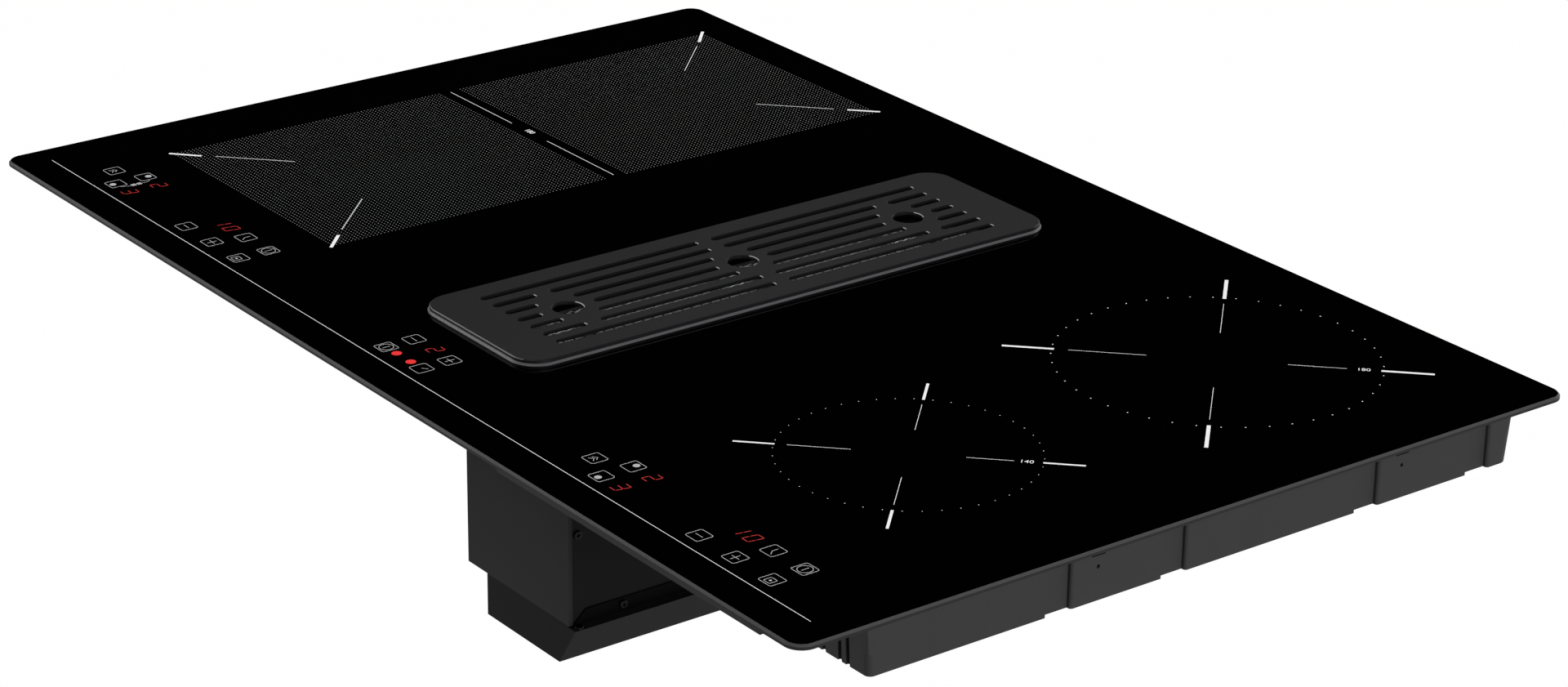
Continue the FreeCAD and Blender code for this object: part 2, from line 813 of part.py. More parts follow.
def sump_gasket():
    """Flat gasket between the housing's floor and the trough."""
    right = housing_half - fit_gap
    plate = block((-sump_left - sump_flange, housing_front + sump_flange_setback, gasket_bottom),
                  (right, sump_rear - sump_sheet, housing_bottom))
    drain_front = housing_front + drain_front_margin
    hole = block((-drain_width / 2, drain_front, gasket_bottom - overrun),
                 (drain_width / 2, drain_front + drain_length, housing_bottom + overrun))
    return plate.cut(hole)


def scroll_outline(grow, end_y, x):
    """Face of the scroll in the plane at x, grown by grow, with its outlet ending at end_y."""
    radii = [radius + grow for radius in scroll_radii]
    centre = V(x, blower_y, blower_z)
    edges = []
    for quarter in range(3):
        start, end = radii[quarter], radii[quarter + 1]
        points = []
        for step, radius in enumerate((start, (start + end) / 2, end)):
            angle = math.pi / 2 * (quarter + step / 2)
            points.append(centre + V(0, math.cos(angle), math.sin(angle)) * radius)
        edges.append(Part.Arc(*points).toShape())
    low = blower_z - radii[-1]
    high = outlet_high + grow
    corners = [V(x, blower_y, low), V(x, end_y, low), V(x, end_y, high),
               V(x, blower_y + radii[0], high), V(x, blower_y + radii[0], blower_z)]
    edges += [Part.LineSegment(a, b).toShape() for a, b in zip(corners, corners[1:])]
    return Part.Face(Part.Wire(edges))


def blower_scroll():
    """Scroll casing of the blower, open at both inlets and at the outlet."""
    inner_half = scroll_half - scroll_wall
    rear = housing_rear - housing_sheet
    outside = scroll_outline(scroll_wall, rear, -scroll_half).extrude(V(2 * scroll_half, 0, 0))
    inside = scroll_outline(0, rear + overrun, -inner_half).extrude(V(2 * inner_half, 0, 0))
    reach = scroll_half + overrun
    inlets = rod(inlet_radius, (-reach, blower_y, blower_z), (reach, blower_y, blower_z))
    return outside.cut([inside, inlets])


def inlet_rings():
    """Inlet rings on the two sides of the scroll."""
    rings = []
    for side in (-1, 1):
        start = (side * scroll_half, blower_y, blower_z)
        end = (side * (scroll_half + inlet_ring_thick), blower_y, blower_z)
        ring = rod(inlet_radius + inlet_ring_width, start, end)
        rings.append(ring.cut(rod(inlet_radius, start, end)))
    return Part.makeCompound(rings)


def blower_motor():
    """Motor body with its shaft, standing on the mount."""
    back = -housing_inner_half + motor_mount_thick
    face = -impeller_hub_length / 2 - motor_hub_gap
    body = rod(motor_radius, (back, blower_y, blower_z), (face, blower_y, blower_z))
    tip = impeller_hub_length / 2
    shaft = rod(motor_shaft_radius, (face, blower_y, blower_z), (tip, blower_y, blower_z))
    return joined([body, shaft])


def motor_mount():
    """Plate on the housing's left wall that carries the motor."""
    half = motor_mount_size / 2
    return block((-housing_inner_half, blower_y - half, blower_z - half),
                 (-housing_inner_half + motor_mount_thick, blower_y + half, blower_z + half))


def impeller():
    """Blower wheel: hub, middle disc, end rings and leaning blades."""
    centre = V(0, blower_y, blower_z)
    half = impeller_width / 2

    def bar(radius, low, high):
        return rod(radius, (low, blower_y, blower_z), (high, blower_y, blower_z))

    disc = bar(impeller_radius, -impeller_disc / 2, impeller_disc / 2)
    hub = bar(impeller_hub_radius, -impeller_hub_length / 2, impeller_hub_length / 2)
    parts = [disc, hub]
    for low in (-half, half - impeller_ring):
        ring = bar(impeller_radius, low, low + impeller_ring)
        parts.append(ring.cut(bar(impeller_inner_radius, low, low + impeller_ring)))
    chord = impeller_radius - impeller_inner_radius - blade_thick
    middle = centre + V(0, (impeller_radius + impeller_inner_radius) / 2, 0)
    blade = block((-half, -chord / 2, -blade_thick / 2), (half, chord / 2, blade_thick / 2))
    blade.rotate(V(0, 0, 0), V(1, 0, 0), blade_lean_deg)
    blade.translate(middle)
    for index in range(blade_count):
        copy = blade.copy()
        copy.rotate(centre, V(1, 0, 0), 360 * index / blade_count)
        parts.append(copy)
    bore = bar(motor_shaft_radius + running_gap, -half, half)
    return joined(parts).cut(bore)


def outlet_collar():
    """Rectangular spigot on the rear wall, where a flat duct pushes on."""
    half = scroll_half - scroll_wall
    tube = block((-half - collar_sheet, housing_rear, outlet_low - collar_sheet),
                 (half + collar_sheet, housing_rear + collar_length, outlet_high + collar_sheet))
    low = max(outlet_low - collar_rim, housing_bottom)
    rim = block((-half - collar_rim, housing_rear, low),
                (half + collar_rim, housing_rear + collar_rim_thick, outlet_high + collar_rim))
    way = block((-half, housing_rear - overrun, outlet_low),
                (half, housing_rear + collar_length + overrun, outlet_high))
    return joined([tube, rim]).cut(way)


def driver_box():
    """Box for the blower's driver on the housing's left wall, open towards the wall."""
    right = -housing_half
    left = right - driver_width
    low = (left, blower_y - driver_length / 2, -driver_top_drop - driver_height)
    high = (right, blower_y + driver_length / 2, -driver_top_drop)
    inner_low = [value + driver_wall for value in low]
    inner_high = (high[0] + overrun, high[1] - driver_wall, high[2] - driver_wall)
    return block(low, high).cut(block(inner_low, inner_high))


def driver_board():
    """Circuit board inside the driver box."""
    left = -housing_half - driver_width + driver_wall
    front = blower_y - driver_length / 2 + driver_wall
    rear = blower_y + driver_length / 2 - driver_wall
    low = -driver_top_drop - driver_height + driver_wall
    board = block((left, front, low), (left + board_thick, rear, -driver_top_drop - driver_wall))
    can = rod(can_radius, (left + board_thick, blower_y, low + driver_height / 2),
              (left + board_thick + can_height, blower_y, low + driver_height / 2))
    return joined([board, can])


def along_tray(share):
    """Place along the tray's length at a share of it, from the front."""
    return tray_front + share * tray_length


def tray_posts():
    """Places of the posts that carry the coil plate."""
    inset = tray_wall + post_inset
    return [(x, y) for x in (tray_left + inset, tray_right - inset)
            for y in (tray_front + inset, (tray_front + tray_rear) / 2, tray_rear - inset)]


def board_corners():
    """Places of the standoffs under the power board."""
    return [(x, y) for x in (board_left + standoff_inset, board_left + board_width - standoff_inset)
            for y in (board_front + standoff_inset, board_front + board_length - standoff_inset)]


def channel_cut(end):
    """Cutting tool for a channel in the outer wall: a short ramp in and a rounded step at end."""
    low = tray_bottom - overrun
    outside = tray_right + overrun
    start = end - channel_length
    centre = V(tray_right - channel_round, end + channel_round, low)
    half_way = centre + V(1, -1, 0).normalize() * channel_round
    floor = tray_right - channel_depth
    ramp = [V(outside, start, low), V(tray_right, start, low), V(floor, start + channel_ramp, low),
            V(floor, end, low), V(tray_right - channel_round, end, low)]
    rim = [V(tray_right, end + channel_round, low), V(outside, end + channel_round, low), ramp[0]]
    edges = [Part.LineSegment(a, b).toShape() for run in (ramp, rim) for a, b in zip(run, run[1:])]
    edges.insert(len(ramp) - 1, Part.Arc(ramp[-1], half_way, rim[0]).toShape())
    return Part.Face(Part.Wire(edges)).extrude(V(0, 0, glass_bottom + overrun - low))


def channel_back(end):
    """Thicker stretch of wall behind a channel."""
    return block((tray_right - tray_wall - channel_depth, end - channel_length, tray_bottom),
                 (tray_right - tray_wall, end + tray_wall, glass_bottom))


def tray_clip_cuts():
    """Cutting tools for the slots and screw holes that take the hold-down clips."""
    tools = []
    inside = tray_right - tray_wall - overrun
    outside = tray_right + overrun
    slot_z = glass_bottom - clip_slot_drop
    hole_z = glass_bottom - clip_hole_drop
    for share in clip_shares:
        y = along_tray(share)
        tools.append(block((inside, y - clip_slot_length / 2, slot_z - clip_slot_height / 2),
                           (outside, y + clip_slot_length / 2, slot_z + clip_slot_height / 2)))
        tools.append(rod(clip_hole_radius, (inside, y, hole_z), (outside, y, hole_z)))
    return tools


def tray_vent_slots():
    """Cutting blocks for the air slots under the cooling fan."""
    tools = []
    for index in range(vent_slot_count):
        x = fan_x + (index - (vent_slot_count - 1) / 2) * vent_slot_pitch
        reach = vent_slot_length / 2
        tools.append(slot_prism(vent_slot_width, fan_y - reach, fan_y + reach, x,
                                tray_bottom - overrun, tray_floor_top + overrun))
    return tools


def tray_front_slits():
    """Cutting blocks for the shallow grooves down the front wall near the corner."""
    tools = []
    front = tray_front - tray_draft - overrun
    for step in front_slit_steps:
        x = tray_right - front_slit_inset - step * front_slit_pitch
        tools.append(block((x - front_slit_width / 2, front, tray_bottom - overrun),
                           (x + front_slit_width / 2, tray_front + front_slit_depth,
                            glass_bottom - front_slit_drop)))
    return tools


def tray_body():
    """Outside of the base tray, its front and rear walls leaning out from foot to head."""
    foot = rounded_wire(tray_width, tray_length, tray_foot_corner, tray_middle, tray_bottom)
    head = rounded_wire(tray_width, tray_length + 2 * tray_draft, tray_corner, tray_middle, glass_bottom)
    return drafted_prism(foot, head)


def tray_corner_edge(low, high, radius):
    """Stretch of the front outer corner between two heights, with its own radius."""
    reach = corner_edge_size / 2
    wires = []
    for z in (low, high):
        front = tray_front - tray_draft * (z - tray_bottom) / tray_depth
        middle = (tray_right - reach, front + reach)
        wires.append(rounded_wire(corner_edge_size, corner_edge_size, radius, middle, z))
    return drafted_prism(*wires)


def base_tray():
    """Right-hand base tray with its channels, posts, standoffs and slots."""
    inner_width = tray_width - 2 * tray_wall
    inner_length = tray_length - 2 * tray_wall
    hollow = rounded_prism(inner_width, inner_length, tray_inner_corner, tray_floor_top,
                           glass_bottom + overrun, tray_middle)
    under = rounded_prism(inner_width, inner_length, tray_inner_corner, tray_bottom - overrun,
                          tray_underside, tray_middle)
    knee = tray_bottom + corner_foot_height
    shell = [tray_body(), tray_corner_edge(tray_bottom, knee, corner_foot_round),
             tray_corner_edge(knee, glass_bottom, corner_edge_round)]
    parts = [shape.cut([hollow, under]) for shape in shell]
    parts += [channel_back(along_tray(share)) for share in channel_shares]
    parts += [rod(post_radius, (x, y, tray_floor_top), (x, y, plate_bottom)) for x, y in tray_posts()]
    parts += [rod(standoff_radius, (x, y, tray_floor_top), (x, y, board_bottom)) for x, y in board_corners()]
    cuts = [channel_cut(along_tray(share)) for share in channel_shares]
    cuts += tray_clip_cuts() + tray_vent_slots() + tray_front_slits()
    cuts += [screw_hole((x, y, plate_bottom + plate_thick), (0, 0, -1)) for x, y in tray_posts()]
    return joined(parts).cut(cuts)


def left_tray():
    """Left-hand base tray: the right one mirrored, with a hole for the cable gland."""
    start = (-gland_x, gland_y, tray_underside - overrun)
    end = (-gland_x, gland_y, tray_floor_top + overrun)
    return mirrored(base_tray()).cut(rod(gland_thread_radius + screw_hole_gap, start, end))


def round_coil(radius, y):
    """Flat round winding at zone_x and y."""
    outer = rod(radius, (zone_x, y, coil_bottom), (zone_x, y, sheet_bottom))
    return outer.cut(rod(coil_eye_radius, (zone_x, y, coil_bottom), (zone_x, y, sheet_bottom)))


def flex_coil(y):
    """Flat winding with round corners for half of the left zone."""
    middle = (zone_x, y)
    outer = rounded_prism(flex_coil_width, flex_coil_length, flex_coil_corner,
                          coil_bottom, sheet_bottom, middle)
    eye = rounded_prism(flex_eye_width, flex_eye_length, flex_eye_corner,
                        coil_bottom, sheet_bottom, middle)
    return mirrored(outer.cut(eye))


def coil_plate(places):
    """Aluminium plate under the coils, with a hole at each coil's centre."""
    low = (tray_left + tray_wall + plate_margin, tray_front + tray_wall + plate_margin, plate_bottom)
    high = (tray_right - tray_wall - plate_margin, tray_rear - tray_wall - plate_margin, ferrite_bottom)
    start = plate_bottom - overrun
    end = ferrite_bottom + overrun
    holes = [rod(sensor_hole_radius, (zone_x, y, start), (zone_x, y, end)) for y in places]
    holes += [screw_hole((x, y, ferrite_bottom), (0, 0, -1)) for x, y in tray_posts()]
    return block(low, high).cut(holes)


def plate_screws():
    """Screws through the coil plates into the posts of both trays."""
    right = [screw((x, y, ferrite_bottom), (0, 0, -1), screw_length) for x, y in tray_posts()]
    return Part.makeCompound(right + [mirrored(item) for item in right])


def ferrite_bars(coils):
    """Ferrite bars in a star under each coil; coils gives (y, eye, reach)."""
    bars = []
    for y, eye, reach in coils:
        start = eye + ferrite_eye_gap
        end = reach * ferrite_span_share
        bar = block((zone_x + start, y - ferrite_width / 2, ferrite_bottom),
                    (zone_x + end, y + ferrite_width / 2, coil_bottom))
        for index in range(ferrite_count):
            copy = bar.copy()
            copy.rotate(V(zone_x, y, 0), V(0, 0, 1), 360 * (index + 0.5) / ferrite_count)
            bars.append(copy)
    return Part.makeCompound(bars)


def round_sheets():
    """Insulating sheets between the round coils and the glass."""
    sheets = []
    for radius, y in ((front_coil_radius, front_zone_y), (rear_coil_radius, rear_zone_y)):
        sheets.append(rod(radius + sheet_margin, (zone_x, y, sheet_bottom), (zone_x, y, glass_bottom)))
    return Part.makeCompound(sheets)


def flex_sheets():
    """Insulating sheets between the left coils and the glass."""
    width = flex_coil_width + 2 * sheet_margin
    length = flex_coil_length + 2 * sheet_margin
    sheets = [rounded_prism(width, length, flex_coil_corner, sheet_bottom, glass_bottom, (zone_x, y))
              for y in (flex_front_y, flex_rear_y)]
    return mirrored(Part.makeCompound(sheets))


def sensors(places):
    """Temperature sensors in the middle of the coils, each on a foot in the plate's hole."""
    items = []
    for y in places:
        stem = rod(sensor_radius, (zone_x, y, plate_bottom), (zone_x, y, sheet_bottom))
        foot_top = (zone_x, y, ferrite_bottom)
        foot = rod(sensor_hole_radius - fit_gap, (zone_x, y, plate_bottom), foot_top)
        collar_top = (zone_x, y, ferrite_bottom + sensor_foot_height)
        collar = rod(sensor_foot_radius, foot_top, collar_top)
        items.append(joined([stem, foot, collar]))
    return Part.makeCompound(items)


def power_board():
    """Power board on its standoffs."""
    return block((board_left, board_front, board_bottom),
                 (board_left + board_width, board_front + board_length, board_top))


def heat_sink():
    """Finned heat sink on the power board."""
    left = board_left + sink_edge_gap
    front = board_front + sink_edge_gap
    parts = [block((left, front, board_top),
                   (left + sink_width, front + sink_length, board_top + sink_base))]
    pitch = (sink_width - sink_fin_thick) / (sink_fin_count - 1)
    for index in range(sink_fin_count):
        x = left + index * pitch
        parts.append(block((x, front, board_top),
                           (x + sink_fin_thick, front + sink_length, board_top + sink_height)))
    return joined(parts)


def board_parts():
    """Capacitors in a row and a choke on the power board."""
    items = []
    x = board_left + board_width - can_edge_gap
    for index in range(can_count):
        y = board_front + board_length - can_edge_gap - index * can_pitch
        items.append(rod(can_radius, (x, y, board_top), (x, y, board_top + can_height)))
    rear = board_front + board_length - can_edge_gap
    items.append(block((board_left + can_edge_gap, rear - choke_length, board_top),
                       (board_left + can_edge_gap + choke_width, rear, board_top + choke_height)))
    return Part.makeCompound(items)


def fan_frame():
    """Square frame of the cooling fan with struts, base and pin."""
    half = fan_size / 2
    frame = block((fan_x - half, fan_y - half, tray_floor_top), (fan_x + half, fan_y + half, fan_top))
    bore = rod(fan_bore_radius, (fan_x, fan_y, tray_floor_top), (fan_x, fan_y, fan_top))
    parts = [frame.cut(bore)]
    reach = fan_bore_radius + fan_strut_width
    strut = fan_strut_width / 2
    for half_x, half_y in ((reach, strut), (strut, reach)):
        parts.append(block((fan_x - half_x, fan_y - half_y, tray_floor_top),
                           (fan_x + half_x, fan_y + half_y, fan_base_top)))
    parts.append(rod(fan_hub_radius, (fan_x, fan_y, tray_floor_top), (fan_x, fan_y, fan_base_top)))
    pin_top = fan_rotor_bottom + fan_rotor_height
    parts.append(rod(fan_pin_radius, (fan_x, fan_y, tray_floor_top), (fan_x, fan_y, pin_top)))
    return joined(parts)


def fan_rotor():
    """Rotor of the cooling fan: a hub with pitched blades."""
    low = fan_rotor_bottom
    high = low + fan_rotor_height
    tip = fan_bore_radius - fan_tip_gap
    hub = rod(fan_hub_radius, (fan_x, fan_y, low), (fan_x, fan_y, high))
    chord = (fan_rotor_height - 2 * fan_blade_thick) / math.sin(math.radians(fan_blade_pitch_deg))
    blade = block((0, -chord / 2, -fan_blade_thick / 2), (tip + fan_tip_gap, chord / 2, fan_blade_thick / 2))
    blade.rotate(V(0, 0, 0), V(1, 0, 0), fan_blade_pitch_deg)
    blade.translate(V(fan_x, fan_y, (low + high) / 2))
    blades = []
    for index in range(fan_blade_count):
        copy = blade.copy()
        copy.rotate(V(fan_x, fan_y, 0), V(0, 0, 1), 360 * index / fan_blade_count)
        blades.append(copy)
    disc = rod(tip, (fan_x, fan_y, low), (fan_x, fan_y, high))
    bore = rod(fan_pin_radius + running_gap, (fan_x, fan_y, low), (fan_x, fan_y, high))
    return joined([hub] + [item.common(disc) for item in blades]).cut(bore)


def touch_holder(middle_x, width, depth):
    """Shallow tray under the glass that holds a touch board on corner posts."""
    half = width / 2
    bottom = glass_bottom - depth
    shell = block((middle_x - half, touch_front, bottom), (middle_x + half, touch_rear, glass_bottom))
    inner = half - touch_wall
    hollow = block((middle_x - inner, touch_front + touch_wall, bottom + touch_wall),
                   (middle_x + inner, touch_rear - touch_wall, glass_bottom + overrun))
    posts = []
    top = glass_bottom - touch_board_drop - board_thick
    for side in (-1, 1):
        low_x, high_x = sorted((side * inner, side * (inner - touch_post_size)))
        posts.append(block((middle_x + low_x, touch_front + touch_wall, bottom + touch_wall),
                           (middle_x + high_x, touch_rear - touch_wall, top)))
    return joined([shell.cut(hollow)] + posts)


def touch_board(middle_x, width):
    """Touch board just below the glass."""
    half = width / 2 - touch_wall - fit_gap
    top = glass_bottom - touch_board_drop
    return block((middle_x - half, touch_front + touch_wall + fit_gap, top - board_thick),
                 (middle_x + half, touch_rear - touch_wall - fit_gap, top))


def display_digits(middle_x, width, shares):
    """Digit modules on a touch board, at shares of the holder's width."""
    items = []
    low = glass_bottom - touch_board_drop
    high = glass_bottom - digit_glass_gap
    y = touch_rear - touch_wall - fit_gap - digit_length / 2
    for share in shares:
        x = middle_x + (share - 0.5) * width
        items.append(block((x - digit_width / 2, y - digit_length / 2, low),
                           (x + digit_width / 2, y + digit_length / 2, high)))
    return Part.makeCompound(items)


def cable_gland():
    """Gland in the floor of the left tray, with its nut inside."""

    def bar(radius, low, high):
        return rod(radius, (-gland_x, gland_y, low), (-gland_x, gland_y, high))

    mouth = tray_underside - gland_head_length
    inner_end = tray_floor_top + gland_inside_length
    thread = bar(gland_thread_radius, tray_underside, inner_end)
    head = bar(gland_head_radius, mouth, tray_underside)
    nut = bar(gland_nut_radius, tray_floor_top, tray_floor_top + gland_nut_length)
    return joined([thread, head, nut]).cut(bar(gland_bore_radius, mouth - overrun, inner_end + overrun))


def terminal_block():
    """Mains terminal block on the floor of the left tray."""
    rear = gland_y - terminal_gland_gap
    left = -gland_x - terminal_width / 2
    top = tray_floor_top + terminal_height
    body = block((left, rear - terminal_length, tray_floor_top), (left + terminal_width, rear, top))
    pitch = terminal_width / terminal_ways
    wells = []
    for index in range(terminal_ways):
        x = left + pitch * (index + 0.5)
        y = rear - terminal_length / 2
        wells.append(rod(terminal_screw_radius, (x, y, top - terminal_screw_depth), (x, y, top + overrun)))
    return body.cut(wells)


def solids():
    """Name and shape of every piece."""
    yield "glass_top", glass_plate()
    yield "perimeter_seal", seal_strips()
    yield "vent_grille", grille_plate()
    yield "grille_rim", grille_rim()
    yield "filter_frame", filter_frame()
    yield "filter_mesh", filter_mesh()
    yield "intake_collar", intake_collar()
    yield "extractor_housing", extractor_housing()
    yield "extractor_front_cover", front_cover()
    yield "cover_screws", cover_screws()
    yield "flange_screws", flange_screws()
    yield "sump_gasket", sump_gasket()
    yield "sump_trough", sump_trough()
    yield "sump_screws", sump_screws()
    yield "blower_scroll", blower_scroll()
    yield "blower_inlet_rings", inlet_rings()
    yield "blower_motor", blower_motor()
    yield "motor_mount", motor_mount()
    yield "blower_impeller", impeller()
    yield "outlet_collar", outlet_collar()
    yield "driver_box", driver_box()
    yield "driver_board", driver_board()
    yield "right_base_tray", base_tray()
    yield "left_base_tray", left_tray()
    yield from coil_solids()
    yield "coil_plate_screws", plate_screws()
    for side, place in (("right", lambda shape: shape), ("left", mirrored)):
        yield side + "_power_board", place(power_board())
        yield side + "_heat_sink", place(heat_sink())
        yield side + "_board_parts", place(board_parts())
        yield side + "_fan_frame", place(fan_frame())
        yield side + "_fan_rotor", place(fan_rotor())
    yield from touch_solids()
    yield "cable_gland", cable_gland()
    yield "terminal_block", terminal_block()


def coil_solids():
    """Name and shape of the coils and what lies with them."""
    flex_reach = min(flex_coil_width, flex_coil_length) / 2
    flex_eye = math.hypot(flex_eye_width, flex_eye_length) / 2
    round_places = (front_zone_y, rear_zone_y)
    flex_places = (flex_front_y, flex_rear_y)
    yield "right_front_coil", round_coil(front_coil_radius, front_zone_y)
    yield "right_rear_coil", round_coil(rear_coil_radius, rear_zone_y)
    yield "left_front_coil", flex_coil(flex_front_y)
    yield "left_rear_coil", flex_coil(flex_rear_y)
    yield "right_coil_plate", coil_plate(round_places)
    yield "left_coil_plate", mirrored(coil_plate(flex_places))
    yield "right_ferrites", ferrite_bars([(front_zone_y, coil_eye_radius, front_coil_radius),
                                          (rear_zone_y, coil_eye_radius, rear_coil_radius)])
    yield "left_ferrites", mirrored(ferrite_bars([(y, flex_eye, flex_reach) for y in flex_places]))
    yield "right_insulation", round_sheets()
    yield "left_insulation", flex_sheets()
    yield "right_sensors", sensors(round_places)
    yield "left_sensors", mirrored(sensors(flex_places))


def touch_solids():
    """Name and shape of the three touch control units."""
    units = (("left", -touch_x, touch_width, shallow_touch_depth, left_digit_shares),
             ("centre", 0, centre_touch_width, shallow_touch_depth, centre_digit_shares),
             ("right", touch_x, touch_width, right_touch_depth, right_digit_shares))
    for side, x, width, depth, shares in units:
        yield side + "_touch_holder", touch_holder(x, width, depth)
        yield side + "_touch_board", touch_board(x, width)
        yield side + "_displays", display_digits(x, width, shares)


def main():
    """Build every piece and write it to its own file."""
    for name, shape in solids():
        shape.exportStep("parts/" + name + ".step")
        print(name, "valid" if shape.isValid() else "NOT VALID", len(shape.Solids), round(shape.Volume, 1))


if __name__ == "__main__":
    main()
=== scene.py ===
"""Looks of the black glass cooktop with a downdraft vent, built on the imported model."""

import json
import logging
import math
from collections.abc import Iterator
from contextlib import contextmanager
from dataclasses import asdict, dataclass, field, replace
from enum import Enum
from typing import Any, TypeVar

import bpy
from mathutils import Matrix, Vector


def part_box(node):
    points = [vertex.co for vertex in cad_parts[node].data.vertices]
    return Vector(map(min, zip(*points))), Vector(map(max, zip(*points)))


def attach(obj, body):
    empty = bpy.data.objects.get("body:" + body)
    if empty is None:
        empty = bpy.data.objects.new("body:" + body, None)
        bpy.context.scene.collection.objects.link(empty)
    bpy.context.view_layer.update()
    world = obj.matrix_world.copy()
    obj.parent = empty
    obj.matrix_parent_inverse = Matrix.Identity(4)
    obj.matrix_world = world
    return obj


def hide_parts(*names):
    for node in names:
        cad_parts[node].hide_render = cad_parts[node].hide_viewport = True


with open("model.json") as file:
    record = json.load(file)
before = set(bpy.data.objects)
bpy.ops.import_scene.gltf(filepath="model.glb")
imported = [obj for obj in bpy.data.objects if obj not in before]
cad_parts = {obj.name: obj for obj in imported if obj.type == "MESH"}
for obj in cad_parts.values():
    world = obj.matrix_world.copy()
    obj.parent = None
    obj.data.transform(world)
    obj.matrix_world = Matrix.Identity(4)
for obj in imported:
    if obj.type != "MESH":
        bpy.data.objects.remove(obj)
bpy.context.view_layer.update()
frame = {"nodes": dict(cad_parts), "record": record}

MM = 0.001
ROOT_BODY = "hob"
GLASS_SLOT = "black_glass"
DISPLAY_SLOT = "red_display"

Point = tuple[float, float]
Span = tuple[float, float]
Place = tuple[float, float, float]
Piece = bpy.types.Object
Material = bpy.types.Material
Tree = bpy.types.NodeTree
Socket = bpy.types.NodeSocket
Node = bpy.types.Node
What = TypeVar("What")

log = logging.getLogger("cooktop")


# Shader helpers

def linear(hex_colour: str) -> tuple[float, float, float, float]:
    """Turns an sRGB hex colour into linear light.

    Args:
        hex_colour: six hex digits after a hash sign.
    Returns:
        Red, green, blue and an alpha of one.
    """
    parts = [int(hex_colour[i:i + 2], 16) / 255 for i in (1, 3, 5)]
    low, scale, offset, power = 0.04045, 12.92, 0.055, 2.4
    red, green, blue = (p / scale if p <= low else ((p + offset) / (1 + offset)) ** power
                        for p in parts)
    return red, green, blue, 1.0


def per_metre(size_mm: float) -> float:
    """Texture scale that gives features of a size in millimetres."""
    return 1 / (size_mm * MM)


def empty_tree(owner: bpy.types.ID) -> Tree:
    """Turns nodes on in a material or a world, and clears them.

    Args:
        owner: the material or world.
    Returns:
        Its node tree.
    """
    owner.use_nodes = True
    owner.node_tree.nodes.clear()
    return owner.node_tree


def add_node(tree: Tree, kind: str, inputs: dict[str | int, Any] | None = None,
             **settings: Any) -> Node:
    """Adds a node, with its settings and what goes into its sockets.

    Args:
        tree: node tree that gets the node.
        kind: type name of the node.
        inputs: a value, or another node's output, for each socket by name or number.
        settings: properties of the node by name.
    Returns:
        The new node.
    """
    node = tree.nodes.new(kind)
    for name, value in settings.items():
        setattr(node, name, value)
    for key, value in (inputs or {}).items():
        if isinstance(value, Socket):
            tree.links.new(value, node.inputs[key])
        else:
            node.inputs[key].default_value = value
    return node


@dataclass(frozen=True)
class Finish:
    """One surface finish: two close shades in a soft mottle, a grain in its gloss and relief."""

    name: str
    colour: str
    shade: str
    roughness: float
    gloss_spread: float = 0.05
    metallic: float = 0.0
    mottle_mm: float = 30.0
    grain_mm: float = 1.5
    relief_mm: float = 0.01
    stretch: Place = (1.0, 1.0, 1.0)
    shine: float = 0.5
    mottle_detail: float = 3.0
    grain_detail: float = 2.0

    def make(self) -> Material:
        """Builds the material.

        Returns:
            The material with its node tree.
        """
        material = bpy.data.materials.new(self.name)
        tree = empty_tree(material)
        place = add_node(tree, "ShaderNodeTexCoord").outputs["Object"]
        lay = add_node(tree, "ShaderNodeMapping", {
            "Vector": place, "Scale": self.stretch}).outputs["Vector"]
        mottle = add_node(tree, "ShaderNodeTexNoise", {
            "Vector": lay, "Scale": per_metre(self.mottle_mm),
            "Detail": self.mottle_detail}).outputs["Fac"]
        grain = add_node(tree, "ShaderNodeTexNoise", {
            "Vector": lay, "Scale": per_metre(self.grain_mm),
            "Detail": self.grain_detail}).outputs["Fac"]
        colour = add_node(tree, "ShaderNodeMix", {
            "Factor": mottle, "A": linear(self.shade), "B": linear(self.colour)},
            data_type="RGBA").outputs["Result"]
        gloss = add_node(tree, "ShaderNodeMapRange", {
            "Value": grain, "To Min": self.roughness - self.gloss_spread,
            "To Max": self.roughness + self.gloss_spread}).outputs["Result"]
        bump = add_node(tree, "ShaderNodeBump", {
            "Height": grain, "Strength": 1.0, "Distance": self.relief_mm * MM}).outputs["Normal"]
        shader = add_node(tree, "ShaderNodeBsdfPrincipled", {
            "Base Color": colour, "Roughness": gloss, "Metallic": self.metallic,
            "Specular IOR Level": self.shine, "Normal": bump})
        self.add_detail(tree, place, shader)
        add_node(tree, "ShaderNodeOutputMaterial", {"Surface": shader.outputs["BSDF"]})
        return material

    def add_detail(self, tree: Tree, place: Socket, shader: Node) -> None:
        """Leaves the plain recipe as it is; a finish with a pattern of its own adds it here."""

    def cover(self, tree: Tree, shader: Node, where: Socket, colour: Any) -> None:
        """Lays another colour over the finish.

        Args:
            tree: node tree of the finish.
            shader: shader of the finish.
            where: one where the other colour lies, and zero elsewhere.
            colour: the other colour, or a node's output.
        """
        below = shader.inputs["Base Color"].links[0].from_socket
        mixed = add_node(tree, "ShaderNodeMix", {
            "Factor": where, "A": below, "B": colour}, data_type="RGBA").outputs["Result"]
        tree.links.new(mixed, shader.inputs["Base Color"])


